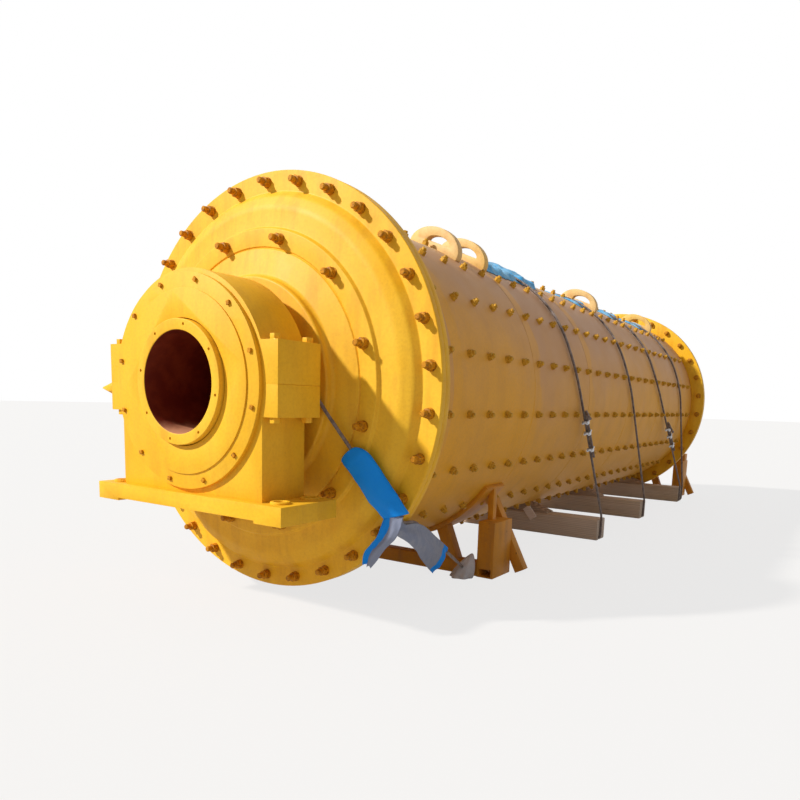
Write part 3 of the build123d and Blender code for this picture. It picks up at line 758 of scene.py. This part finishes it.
def rounded_outline(corners, steps=4):
    """An outline with its corners rounded, from (radius, height, rounding) corners."""
    points = []
    for number, (radius, height, rounding) in enumerate(corners):
        corner = Vector((radius, height))
        before = (Vector(corners[number - 1][:2]) - corner).normalized()
        after = (Vector(corners[(number + 1) % len(corners)][:2]) - corner).normalized()
        half_angle = before.angle(after) / 2
        reach = rounding / tan(half_angle)
        centre = corner + (before + after).normalized() * rounding / sin(half_angle)
        for step in range(steps + 1):
            chord = (before * reach).lerp(after * reach, step / steps) + corner
            points.append(centre + (chord - centre).normalized() * rounding)
    return points


def turned_piece(outline, sides):
    """A ring about +Z: a circle drawn out ring by ring along (radius, height) points and closed."""
    radius, height = outline[0]
    deselect_all()
    bpy.ops.mesh.primitive_circle_add(vertices=sides, radius=radius, location=(0, 0, height))
    piece = apply_place(bpy.context.object)
    edit_all(piece, "EDGE")
    for next_radius, next_height in outline[1:] + outline[:1]:
        bpy.ops.mesh.extrude_region_move()
        bpy.ops.transform.translate(value=(0, 0, next_height - height))
        bpy.ops.transform.resize(value=(next_radius / radius, next_radius / radius, 1))
        radius, height = next_radius, next_height
    bpy.ops.mesh.select_all(action="SELECT")
    bpy.ops.mesh.remove_doubles(threshold=0.0002)
    bpy.ops.mesh.normals_make_consistent(inside=False)
    leave_edit()
    return piece


def on_the_drum(piece, y, outward):
    """Stands a piece that was made about +Z on the drum's axis, with its heights running outward."""
    piece.data.transform(pointing(Vector((0, y, AXIS_HEIGHT)), (0, outward, 0)))
    return piece


def spigot_holes(head):
    """Cuts the circle of round holes into a turned head's end."""
    count, circle, start = SPIGOT_HOLES
    turns = [radians(start + step * 360 / count) for step in range(count)]
    places = [Matrix.Translation((circle * cos(turn), circle * sin(turn), 0)) for turn in turns]
    low, high = SPIGOT_HEIGHT - SPIGOT_HOLE_DEPTH, SPIGOT_HEIGHT + 0.010
    cut(head, repeated(add_cylinder(SMALL_SIDES, SPIGOT_HOLE_RADIUS, high - low, low), places))


def cast_heads():
    """Both end castings, with the stepped face, the boss and the hollow trunnion."""
    for end, side, _ in ENDS:
        head = turned_piece(rounded_outline(HEAD_OUTLINE), HEAD_SIDES)
        spigot_holes(head)
        on_the_drum(head, side * -NEAR_FACE, side)
        finish_piece(head, f"{end}_cast_head", head_finish, DRUM, 28)
        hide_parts(f"{end}_head")


def half_round(half_width, rise, foot, depth):
    """A half-round plate: an oval cylinder cut off straight at its foot and closed there."""
    plate = add_cylinder(LUG_SIDES, 1.0, depth, -depth / 2)
    plate.scale = (half_width, rise, 1)
    apply_place(plate)
    edit_all(plate)
    bpy.ops.mesh.bisect(plane_co=(0, foot, 0), plane_no=(0, 1, 0), clear_inner=True, use_fill=True)
    leave_edit()
    return plate


def lifting_lugs():
    """Thick half-round lugs with half-round eyes, standing across the shell."""
    turn = radians(LUG_ANGLE)
    radial = Vector((cos(turn), 0, sin(turn)))
    tangent = Vector((sin(turn), 0, -cos(turn)))
    for number in range(1, 5):
        low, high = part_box(f"lifting_lug_{number}")
        thickness = high.y - low.y
        plate = half_round(LUG_HALF_WIDTH, LUG_RISE, -LUG_SUNK, thickness)
        eye = half_round(LUG_EYE_HALF_WIDTH, LUG_EYE_RISE, 0.0, thickness * 2)
        eye.data.transform(Matrix.Translation(LUG_EYE_PLACE))
        cut(plate, eye)
        bevel(plate, LUG_ROUNDING)
        middle = Vector((0, (low.y + high.y) / 2, AXIS_HEIGHT)) + radial * SHELL_RADIUS + tangent * LUG_SHIFT
        plate.data.transform(standing(middle, tangent, radial, tangent.cross(radial)))
        finish_piece(plate, f"lug_{number}", lug_finish)
        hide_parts(f"lifting_lug_{number}")


def weld_seams():
    """Round seams between the shell's plates, and one along each plate, staggered."""
    chance = random.Random(8)
    seams = []
    for course in range(COURSES):
        y = NEAR_FACE + FIRST_COURSE + course * COURSE_LENGTH
        seam = on_the_drum(turned_piece(BEAD_OUTLINE, SEAM_SIDES), y, -1)
        for vertex in seam.data.vertices:
            vertex.co.y += BEAD_WAVER * noise.noise(vertex.co * 14.0)
        seams.append(seam)
        if course < COURSES - 1:
            angle = chance.uniform(200, 340)
            along = add_cylinder(8, BEAD_RADIUS, COURSE_LENGTH)
            middle = around_axis(SHELL_RADIUS - BEAD_SUNK, y, angle)
            along.data.transform(pointing(middle, (0, 1, 0)))
            seams.append(along)
    finish_piece(joined(seams), "weld_seams", shell_finish)


def hole_rims():
    """Raised rims round the base plates' foundation holes."""
    for end, side, body in ENDS:
        middle = -side * (BASE_LOW.y + BASE_HIGH.y) / 2
        places = [Matrix.Translation((x * (BASE_HIGH.x - HOLE_INSET), middle + y * HOLE_HALF_SPACING,
                                      BASE_HIGH.z)) for x in (-1, 1) for y in (-1, 1)]
        rims = repeated(turned_piece(HOLE_RIM_OUTLINE, HOLE_RIM_SIDES), places)
        finish_piece(rims, f"{end}_hole_rims", bearing_finish, body)


# Bolts, nuts and studs

def chamfer_top(piece, inset, rise):
    """Draws a smaller face out of a piece's flat top."""
    edit_all(piece, "FACE")
    bpy.ops.mesh.select_all(action="DESELECT")
    leave_edit()
    for face in piece.data.polygons:
        face.select = face.normal.z > 0.9
    bpy.ops.object.mode_set(mode="EDIT")
    bpy.ops.mesh.inset(thickness=inset)
    bpy.ops.transform.translate(value=(0, 0, rise))
    leave_edit()


def fastener(size, sides=10):
    """A thin washer, a chamfered nut and the end of its stud, standing on the XY plane."""
    across_flats, nut_height, stud_radius, stud_reach = size
    washer = add_cylinder(SMALL_SIDES, across_flats * 0.62, WASHER_HEIGHT)
    nut = add_cylinder(6, across_flats / sqrt(3), nut_height, WASHER_HEIGHT)
    chamfer_top(nut, across_flats * 0.09, across_flats * 0.05)
    stud = add_cylinder(sides, stud_radius, WASHER_HEIGHT + nut_height + stud_reach)
    chamfer_top(stud, stud_radius * 0.25, stud_radius * 0.25)
    return joined([washer, nut, stud])


def bolt_circle(master, circle, y, outward):
    """Copies of a bolt round the drum's axis, on a face that looks along outward."""
    count, radius, start = circle
    chance = random.Random(count + int(radius * 1000))
    places = [pointing(around_axis(radius, y, start + step * 360 / count), (0, outward, 0),
                       chance.uniform(0, pi / 3)) for step in range(count)]
    return repeated(master, places)


def flange_bolts():
    for end, side, _ in ENDS:
        front = bolt_circle(fastener(FLANGE_NUT), FLANGE_BOLTS, side * -NEAR_FACE, side)
        back = bolt_circle(fastener(FLANGE_BACK_NUT), FLANGE_BOLTS, side * -RIM_BACK, -side)
        finish_piece(joined([front, back]), f"{end}_flange_bolts", nuts)


def head_bolts():
    for end, side, _ in ENDS:
        ring = bolt_circle(fastener(HEAD_NUT), HEAD_BOLTS, side * (-NEAR_FACE + HEAD_BOLT_HEIGHT), side)
        finish_piece(ring, f"{end}_head_bolts", nuts)


def cover_screws():
    """Small square-headed screws in the bearings' ring flanges."""
    for end, side, body in ENDS:
        screw = add_cylinder(4, SCREW_RADIUS, SCREW_HEIGHT)
        bevel(screw, 0.0015, 1)
        ring = bolt_circle(screw, COVER_SCREWS, side * -RING_FACE, side)
        finish_piece(ring, f"{end}_cover_screws", nuts, body)


def liner_bolts():
    """The rows of painted bolts that hold the lining, along the whole shell."""
    chance = random.Random(5)
    places = []
    for row in range(LINER_ROWS):
        angle = LINER_ROW_START + row * 360 / LINER_ROWS
        outward = Vector((cos(radians(angle)), 0, sin(radians(angle))))
        for bolt in range(LINER_BOLTS):
            y = NEAR_FACE + LINER_FIRST + bolt * LINER_PITCH
            places.append(pointing(around_axis(SHELL_RADIUS - 0.001, y, angle), outward,
                                   chance.uniform(0, pi / 3)))
    finish_piece(repeated(fastener(LINER_NUT, 8), places), "liner_bolts", liner_nuts)


# Wire ropes

def curve_object(name, kind, lines, thickness=0.0, bevel_resolution=2):
    """A curve with one spline for each line of points, smooth of order 3 where it is a NURBS."""
    curve = bpy.data.curves.new(name, "CURVE")
    curve.dimensions = "3D"
    curve.resolution_u = 12
    curve.bevel_depth = thickness
    curve.bevel_resolution = bevel_resolution
    curve.use_fill_caps = thickness > 0
    for line in lines:
        spline = curve.splines.new(kind)
        spline.points.add(len(line) - 1)
        for point, corner in zip(spline.points, line):
            point.co = (*corner, 1)
        if kind == "NURBS":
            spline.order_u = 3
            spline.use_endpoint_u = True
    holder = bpy.data.objects.new(name, curve)
    bpy.context.collection.objects.link(holder)
    bpy.context.view_layer.update()
    return holder


def as_mesh(holder):
    select_only(holder)
    bpy.ops.object.convert(target="MESH")
    return bpy.context.object


def route_points(corners):
    """Points along the smooth curve that has these corners as its control points."""
    holder = curve_object("route", "NURBS", [corners])
    mesh = bpy.data.meshes.new_from_object(holder.evaluated_get(bpy.context.evaluated_depsgraph_get()))
    bpy.data.objects.remove(holder)
    return [vertex.co.copy() for vertex in mesh.vertices]


def bent_rod(corners, radius):
    return as_mesh(curve_object("rod", "NURBS", [corners], radius))


def evenly(points, step):
    """Points at even steps along a line of points."""
    spaced = [points[0].copy()]
    left = step
    for here, there in zip(points, points[1:]):
        run = (there - here).length
        travelled = left
        while travelled <= run:
            spaced.append(here.lerp(there, travelled / run))
            travelled += step
        left = travelled - run
    return spaced


def laid_strands(name, corners):
    """Six strands laid round a smooth line, as a wire rope."""
    points = evenly(route_points(corners), ROPE_LAY / STEPS_PER_LAY)
    strand_radius = ROPE_RADIUS / 3
    turn_radius = ROPE_RADIUS - strand_radius
    side = Vector((0.3, 0.5, 0.81)).normalized()
    axes = []
    for number in range(len(points)):
        along = (points[min(number + 1, len(points) - 1)] - points[max(number - 1, 0)]).normalized()
        side = (side - along * side.dot(along)).normalized()
        axes.append((side, along.cross(side)))
    strands = []
    for strand in range(ROPE_STRANDS):
        strands.append([])
        for number, (point, (first, second)) in enumerate(zip(points, axes)):
            turn = 2 * pi * (strand / ROPE_STRANDS + number / STEPS_PER_LAY)
            strands[-1].append(point + first * turn_radius * cos(turn) + second * turn_radius * sin(turn))
    return as_mesh(curve_object(name, "POLY", strands, strand_radius * 1.04, 1))


def finish_rope(rope, name):
    finish_piece(rope, name, wire_steel, DRUM, 60)


def rope_clip():
    """A saddle under two ropes, a bent bolt over them and its two nuts; +Z is out of the saddle."""
    saddle = add_box(*CLIP_SADDLE)
    bevel(saddle, 0.005)
    leg = [(CLIP_HALF_WIDTH, 0, height) for height in CLIP_BOLT_HEIGHTS]
    other_leg = [(-x, y, z) for x, y, z in reversed(leg)]
    pieces = [saddle, bent_rod(other_leg + leg, CLIP_BOLT_RADIUS)]
    for side in (-1, 1):
        nut = add_cylinder(6, CLIP_NUT_RADIUS, CLIP_NUT_HEIGHT, CLIP_NUT_BASE)
        nut.data.transform(Matrix.Translation((side * CLIP_HALF_WIDTH, 0, 0)))
        pieces.append(nut)
    return joined(pieces)


def clipped_end(number, run_foot, run_top, shares):
    """The rope's turned-back end beside its own run, its clips and the short tail that stands off."""
    run = run_top - run_foot
    along = run.normalized()
    outward = Vector((1, 0, 0))
    outward = (outward - along * outward.dot(along)).normalized()
    beside = along.cross(outward).normalized()
    offset = outward * (2 * ROPE_RADIUS + 0.001)
    low = run_foot + run * (min(shares) - END_BELOW_CLIPS) + offset
    high = run_foot + run * (max(shares) + END_ABOVE_CLIPS) + offset
    tail_tip = high + along * END_TIP[0] + outward * END_TIP[1] + beside * END_TIP[2]
    name = f"rope_tail_{number}"
    rope = laid_strands(name, [low, low.lerp(high, 0.5), high, high + along * 0.09, tail_tip])
    knot_end = tail_tip + (tail_tip - high).normalized() * KNOT_LENGTH
    knot = bent_rod([tail_tip - along * 0.004, tail_tip, knot_end], KNOT_RADIUS)
    finish_rope(joined([rope, knot]), name)
    across_run = Matrix.Rotation(pi / 2, 4, "Y")
    places = [standing(run_foot + run * share + offset / 2, beside, along, outward) @ across_run
              for share in shares]
    finish_piece(repeated(rope_clip(), places), f"rope_clips_{number}", zinc)


def lashing_ropes():
    """The four lashings, each from under its timber, over the shell and back."""
    for number, (crest, timber, shift) in enumerate(zip(ROPE_CRESTS, ROPE_TIMBERS, ROPE_SHIFTS), start=1):
        low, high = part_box(f"timber_{timber}")
        foot_y = (low.y + high.y) / 2 + shift
        end_x = high.x + ROPE_RADIUS + 0.002
        knee = Vector((end_x, foot_y, high.z + 2 * ROPE_RADIUS))
        drop = AXIS_HEIGHT - knee.z
        leaving_angle = degrees(acos(ROPE_CREST_RADIUS / sqrt(end_x ** 2 + drop ** 2)) - atan2(drop, end_x))
        turn = (180 - 2 * leaving_angle) / ROPE_CREST_SIDES
        corner = ROPE_CREST_RADIUS / cos(radians(turn / 2))
        over = [around_axis(corner, NEAR_FACE + crest, leaving_angle + turn * (side + 0.5))
                for side in range(ROPE_CREST_SIDES)]
        run_down = (knee - over[0]).normalized()
        chord = (over[1] - over[0]).length
        half = [Vector((x, foot_y, z)) for x, z in (
            (0.002, ROPE_UNDER_TIMBER), (end_x - 0.05, ROPE_UNDER_TIMBER), (end_x, ROPE_UNDER_TIMBER),
            (end_x, ROPE_UNDER_TIMBER + 0.06), (end_x, knee.z - 0.08))]
        half += [knee, knee - run_down * 0.2, over[0] + run_down * chord]
        left = [Vector((-point.x, point.y, point.z)) for point in reversed(half)]
        rope = laid_strands(f"laid_rope_{number}", half + over + left)
        finish_rope(rope, f"laid_rope_{number}")
        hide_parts(f"lashing_rope_{number}")
        if number in CLIP_SHARES:
            clipped_end(number, knee, over[0], CLIP_SHARES[number])


# Sling and its cloth

LOOP_RADIUS = JOURNAL_RADIUS + ROPE_RADIUS + TOUCH_GAP
RIM_CROSSING_RADIUS = FLANGE_RADIUS + SLING_RIM_CLEARANCE
LEAD_ANGLE = SLING_RIM_ANGLE + degrees(acos(LOOP_RADIUS / RIM_CROSSING_RADIUS))


def lead_point(run, height):
    """A point on the sling's straight lead, from where it leaves its loop."""
    turn = radians(LEAD_ANGLE)
    return Vector((LOOP_RADIUS * cos(turn) + run * sin(turn), NEAR_FACE - height,
                   AXIS_HEIGHT + LOOP_RADIUS * sin(turn) - run * cos(turn)))


BOSS_RUN = sqrt((BOSS_RADIUS + ROPE_RADIUS) ** 2 - LOOP_RADIUS ** 2)
RIM_RUN = sqrt(RIM_CROSSING_RADIUS ** 2 - LOOP_RADIUS ** 2)
BOSS_CROSSING = lead_point(BOSS_RUN, BOSS_HEIGHT + ROPE_RADIUS + TOUCH_GAP)
RIM_FRONT = lead_point(RIM_RUN, RIM_FRONT_HEIGHT)
RIM_CROSSING = around_axis(RIM_CROSSING_RADIUS, NEAR_FACE + RIM_CROSSING_DEPTH, SLING_RIM_ANGLE)
SLING_FOOT = Vector((SILL_HIGH.x - SLING_FOOT_INSET, SILL_LOW.y - ROPE_RADIUS - TOUCH_GAP,
                     SLING_FOOT_HEIGHT))
LEAD_DIRECTION = (RIM_FRONT - BOSS_CROSSING).normalized()
SLEEVE_TOP = BOSS_CROSSING + LEAD_DIRECTION * (SLEEVE_START - BOSS_RUN) + Vector((0, -SLEEVE_LIFT, 0))
SLEEVE_FOOT = SLEEVE_TOP + LEAD_DIRECTION * SLEEVE_LENGTH


def sling_rope():
    """Once round the trunnion's neck, out over the boss, past the rim and down to the saddle."""
    butt_angle = degrees(acos(LOOP_RADIUS / (LOOP_RADIUS + 2 * ROPE_RADIUS + TOUCH_GAP)))
    turn = (360 - butt_angle) / SLING_LOOP_SIDES
    corner = LOOP_RADIUS / cos(radians(turn / 2))
    loop_y = NEAR_FACE - SLING_LOOP_HEIGHT
    corners = [around_axis(LOOP_RADIUS, loop_y, LEAD_ANGLE - butt_angle)]
    corners += [around_axis(corner, loop_y, LEAD_ANGLE + turn * (side + 0.5))
                for side in reversed(range(SLING_LOOP_SIDES))]
    corners += [lead_point(SLING_LEAD_START, SLING_LOOP_HEIGHT), BOSS_CROSSING,
                BOSS_CROSSING.lerp(RIM_FRONT, 0.2), BOSS_CROSSING.lerp(RIM_FRONT, 0.9), RIM_FRONT,
                RIM_CROSSING, RIM_CROSSING.lerp(SLING_FOOT, 0.1), RIM_CROSSING.lerp(SLING_FOOT, 0.6),
                SLING_FOOT]
    rope = laid_strands("laid_sling", corners)
    finish_rope(rope, "laid_sling")
    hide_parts("sling_rope")


def add_grid(across, along):
    """A flat grid of across by along faces from (0, 0) to (1, 1), with a UV map of its own."""
    deselect_all()
    bpy.ops.mesh.primitive_grid_add(x_subdivisions=across, y_subdivisions=along, size=1,
                                    location=(0.5, 0.5, 0), calc_uvs=True)
    return apply_place(bpy.context.object)


def lay_out(grid, shape, flat):
    """Moves each vertex of a unit grid to where shape(u, v) puts it; its UV map is in metres."""
    uv_layer = grid.data.uv_layers.active.data
    for loop in grid.data.loops:
        u, v, _ = grid.data.vertices[loop.vertex_index].co
        uv_layer[loop.index].uv = (u * flat[0], v * flat[1])
    for vertex in grid.data.vertices:
        vertex.co = shape(vertex.co.x, vertex.co.y)


def wrinkle(place, seed=0.0):
    """Soft noise between about -1 and 1 at a place."""
    return noise.fractal(Vector(place) + Vector((seed, seed * 1.7, -seed)), 1.0, 2.0, 4)


def ease(value):
    value = min(max(value, 0.0), 1.0)
    return value * value * (3 - 2 * value)


def merge_seam(piece):
    """Closes a grid that has been rolled into a tube."""
    edit_all(piece)
    bpy.ops.mesh.remove_doubles(threshold=0.0003)
    bpy.ops.mesh.normals_make_consistent(inside=False)
    leave_edit()


def finish_sheet(piece, name, material):
    use_modifier(piece, "SOLIDIFY", thickness=SHEET_THICKNESS, offset=1.0)
    finish_piece(piece, name, material, DRUM, 180)


def pad_on_shell(number, start, length, rope_y, rise):
    """Folded blue sheeting between a rope and the shell: pressed flat under the rope, loose beyond."""
    span = PAD_LAST_ANGLE - PAD_FIRST_ANGLE
    width = radians(span) * SHELL_RADIUS
    grid = add_grid(max(int(length / PAD_FACE_LENGTH), 16), 34)

    def shape(u, v):
        y = start + u * length
        press = exp(-((y - rope_y) / PRESSED_WIDTH) ** 2)
        sides = ease(min(v, 1 - v) * 6)
        ends = ease(min(u * length / 0.05, (1 - u) * length / 0.02))
        edge = sides * ends * (1 + 0.5 * ease(u))
        fold = abs(wrinkle((y * 4.0, v * 1.2, number), number))
        roll = rise * edge * (0.45 + fold + 0.35 * sin(9 * y + 3 * number) * (v - 0.5))
        lift = PAD_LIFT + max(roll, 0.0) * (1 - press)
        ragged = PAD_RAGGED_ANGLE * wrinkle((y * 7, number * 3.1, v)) * abs(2 * v - 1)
        return around_axis(SHELL_RADIUS + lift, y, PAD_FIRST_ANGLE + span * v + ragged)

    lay_out(grid, shape, (length, width))
    finish_sheet(grid, f"rope_sheet_{number}", sunlit_pad_cloth)
    return grid


def rope_sheets():
    pieces = [pad_on_shell(number, NEAR_FACE + start, length, NEAR_FACE + crest, rise)
              for number, ((start, length, rise), crest) in enumerate(zip(PADS, ROPE_CRESTS), start=1)]
    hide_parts("rope_pads")


def sling_sleeve():
    """The blue wrap round the sling: a flattened tube, rounded at its top and gathered at its foot."""
    across = LEAD_DIRECTION.cross(Vector((0, 1, 0))).normalized()
    outward = across.cross(LEAD_DIRECTION).normalized()
    if outward.y > 0:
        outward = -outward
    grid = add_grid(56, 60)

    def shape(u, v):
        turn = 2 * pi * u
        along = v ** 1.25
        shoulder = SLEEVE_SHOULDERS[0 if cos(turn) > 0 else 1]
        roundness = sqrt(max(1 - (1 - min(along / shoulder, 1)) ** 2, 0.0))
        top = ease(along / 0.14)
        gather = ease((along - 0.60) / 0.40)
        half_width = SLEEVE_TOP_HALF_WIDTH + (SLEEVE_SPREAD - 0.010 * gather) * roundness
        half_depth = SLEEVE_HALF_DEPTH * (1 + top * (1 - 0.3 * gather))
        fold = 0.005 * gather * sin(5 * turn + 1.0) + 0.003 * top * sin(3 * turn + 5 * along)
        fold += 0.006 * top * wrinkle((cos(turn) * 0.9, sin(turn) * 0.9, along * 3.5), 2.0)
        slant = 0.030 * cos(turn) * gather
        centre = SLEEVE_TOP + LEAD_DIRECTION * (along * SLEEVE_LENGTH + slant) + across * 0.012 * gather
        return (centre + across * (half_width + fold) * cos(turn)
                + outward * (half_depth + fold * 0.7) * sin(turn))

    lay_out(grid, shape, SLEEVE_FLAT)
    merge_seam(grid)
    finish_sheet(grid, "sling_wrap", blue_cloth)
    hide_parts("sling_sleeve")


def strip(name, left, right, seed, finish, flat, ripple):
    """A strip of sheeting between two smooth edges, each given by its corners from top to bottom."""
    left_edge = evenly(route_points(left), STRIP_EDGE_STEP)
    right_edge = evenly(route_points(right), STRIP_EDGE_STEP)
    along = (left_edge[-1] - left_edge[0]).normalized()
    grid = add_grid(26, 40)

    def shape(u, v):
        first = left_edge[round(v * (len(left_edge) - 1))]
        second = right_edge[round(v * (len(right_edge) - 1))]
        outward = along.cross(second - first).normalized()
        fold = ripple * ease(v * 4) * sin(3 * pi * u + seed) + 0.008 * wrinkle((u * 1.6, v * 2.6, seed), seed)
        bulge = STRIP_BULGE * (second - first).length * sin(pi * u)
        ragged = 0.020 * wrinkle((u * 4, seed, 0.3)) * v
        return first.lerp(second, u) + outward * (fold + bulge) + along * ragged

    lay_out(grid, shape, flat)
    finish_sheet(grid, name, finish)
    return grid


def from_foot(*steps):
    """Places at these steps from the foot of the sling's wrap."""
    return [SLEEVE_FOOT + Vector(step) for step in steps]


def sling_tails():
    """The wrap's two loose ends: one hangs free, the other lies over the rope as far as the rim's side."""
    left = from_foot((-0.068, -0.006, 0.010), (-0.085, -0.030, -0.110), (-0.150, -0.034, -0.185),
                     (-0.205, -0.034, -0.245), (-0.200, -0.034, -0.310))
    right = from_foot((0.065, -0.006, 0.010), (0.050, -0.028, -0.110), (-0.040, -0.034, -0.190),
                      (-0.100, -0.036, -0.275), (-0.150, -0.036, -0.335))
    narrow = strip("narrow_tail", left, right, 1.3, narrow_cloth, NARROW_TAIL_FLAT, 0.007)
    run = (SLING_FOOT - RIM_CROSSING).normalized()
    outward = run.cross(Vector((0, 0, 1))).normalized()
    if outward.x < 0:
        outward = -outward
    drop = Vector((0, -0.06, -1)).normalized()
    edge = RIM_CROSSING + outward * 0.022 + Vector((0, 0, 0.014))
    upper = from_foot((0.070, -0.010, 0.030)) + [RIM_FRONT + Vector((0.012, -0.034, -0.016))]
    upper += [edge + run * reach for reach in (0.04, 0.40, 0.74)]
    lower = from_foot((-0.030, -0.014, 0.010), (-0.010, -0.046, -0.090))
    lower += [edge + run * reach + drop * depth for reach, depth in ((-0.05, 0.170), (0.20, 0.235),
                                                                     (0.46, 0.245))]
    strip("broad_tail", lower, upper, 4.1, broad_cloth, BROAD_TAIL_FLAT, 0.005)
    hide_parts("sling_tails")


def rag_cone():
    """A rag bunched round the sling's foot, pulled up to a point."""
    foot = Vector((SLING_FOOT.x, SLING_FOOT.y - 0.080, 0.0))
    grid = add_grid(48, 26)

    def shape(u, v):
        turn = 2 * pi * u
        fold = (1 - v) * (0.009 * sin(6 * turn + 2 * v) + 0.010 * wrinkle((cos(turn), sin(turn), v * 2), 6.0))
        slump = 0.012 * sin(pi * v)
        radius = RAG_RADIUS * (1 - v) ** 0.75 + 0.005 + fold + slump
        return foot + RAG_LEAN * v + Vector((radius * cos(turn), radius * sin(turn), RAG_HEIGHT * v + 0.001))

    lay_out(grid, shape, RAG_WEAVE)
    merge_seam(grid)
    finish_sheet(grid, "rag_cone", rag_cloth)
    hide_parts("rag_bundle")


def wood_offcut():
    """A pale cleat nailed to the first timber's side, up to the shell."""
    low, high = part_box("timber_1")
    cleat = add_box(CLEAT_LOW, CLEAT_HIGH)
    bevel(cleat, 0.002, 1)
    lean = Matrix.Rotation(CLEAT_LEAN, 4, "Y")
    cleat.data.transform(Matrix.Translation((CLEAT_X, low.y - TOUCH_GAP, high.z - 0.002)) @ lean)
    finish_piece(cleat, "wood_offcut", cleat_finish)


# Stage, light and camera

def whitened(tree, lit, kind, share, output):
    """What the camera, a gloss or glass sees turns white by this share; the light on pieces stays."""
    wire = Wiring(tree)
    rays = wire.add("LightPath").outputs
    seen = wire.maths("MAXIMUM", rays["Is Camera Ray"],
                      wire.maths("MAXIMUM", rays["Is Glossy Ray"], rays["Is Transmission Ray"]))
    blend = wire.add("MixShader")
    wire.put(blend.inputs[0], wire.times(seen, share))
    wire.put(blend.inputs[1], lit.outputs[0])
    wire.put(blend.inputs[2], wire.add(kind, Color=WHITE).outputs[0])
    wire.put(tree.nodes[output].inputs["Surface"], blend.outputs[0])


def build_stage():
    """A pale floor that the camera sees lightened, with the object's shadow kept."""
    deselect_all()
    bpy.ops.mesh.primitive_plane_add(size=FLOOR_SIZE, location=FLOOR_MIDDLE)
    floor = bpy.context.object
    floor.name = "floor"
    material = bpy.data.materials.new("pale_floor")
    material.use_nodes = True
    shader = material.node_tree.nodes["Principled BSDF"]
    shader.inputs["Base Color"].default_value = FLOOR_GREY
    shader.inputs["Roughness"].default_value = 0.9
    whitened(material.node_tree, shader, "Emission", FLOOR_WHITENING, "Material Output")
    floor.data.materials.append(material)


def build_light():
    """The sun, and an even pale sky that the camera sees as white."""
    deselect_all()
    bpy.ops.object.light_add(type="SUN", location=(0, 0, 12))
    sun = bpy.context.object
    sun.rotation_mode = "QUATERNION"
    sun.rotation_quaternion = SUN_DIRECTION.to_track_quat("-Z", "Y")
    sun.data.energy = SUN_STRENGTH
    sun.data.angle = SUN_SPREAD
    sun.data.color = SUN_COLOUR
    world = bpy.data.worlds.new("pale_room")
    world.use_nodes = True
    bpy.context.scene.world = world
    sky = world.node_tree.nodes["Background"]
    sky.inputs["Color"].default_value = SKY
    sky.inputs["Strength"].default_value = SKY_STRENGTH
    whitened(world.node_tree, sky, "Background", 1.0, "World Output")


def build_camera():
    """The photograph's camera, from its yaw, its pitch and the roll about its own view."""
    deselect_all()
    bpy.ops.object.camera_add(location=CAMERA_PLACE)
    camera = bpy.context.object
    turn = Matrix.Rotation(CAMERA_YAW, 3, "Z") @ Matrix.Rotation(pi / 2 + CAMERA_PITCH, 3, "X")
    camera.rotation_mode = "QUATERNION"
    camera.rotation_quaternion = (turn @ Matrix.Rotation(CAMERA_ROLL, 3, "Z")).to_quaternion()
    camera.data.sensor_width = 36
    camera.data.lens = CAMERA_LENS
    camera.data.shift_y = CAMERA_SHIFT
    camera.data.clip_end = 200
    bpy.context.scene.camera = camera


build_camera()
dress_construction()
cast_heads()
lifting_lugs()
weld_seams()
hole_rims()
flange_bolts()
head_bolts()
cover_screws()
liner_bolts()
lashing_ropes()
sling_rope()
sling_sleeve()
sling_tails()
rag_cone()
rope_sheets()
wood_offcut()
build_stage()
build_light()
bpy.context.scene.view_settings.view_transform = "Standard"
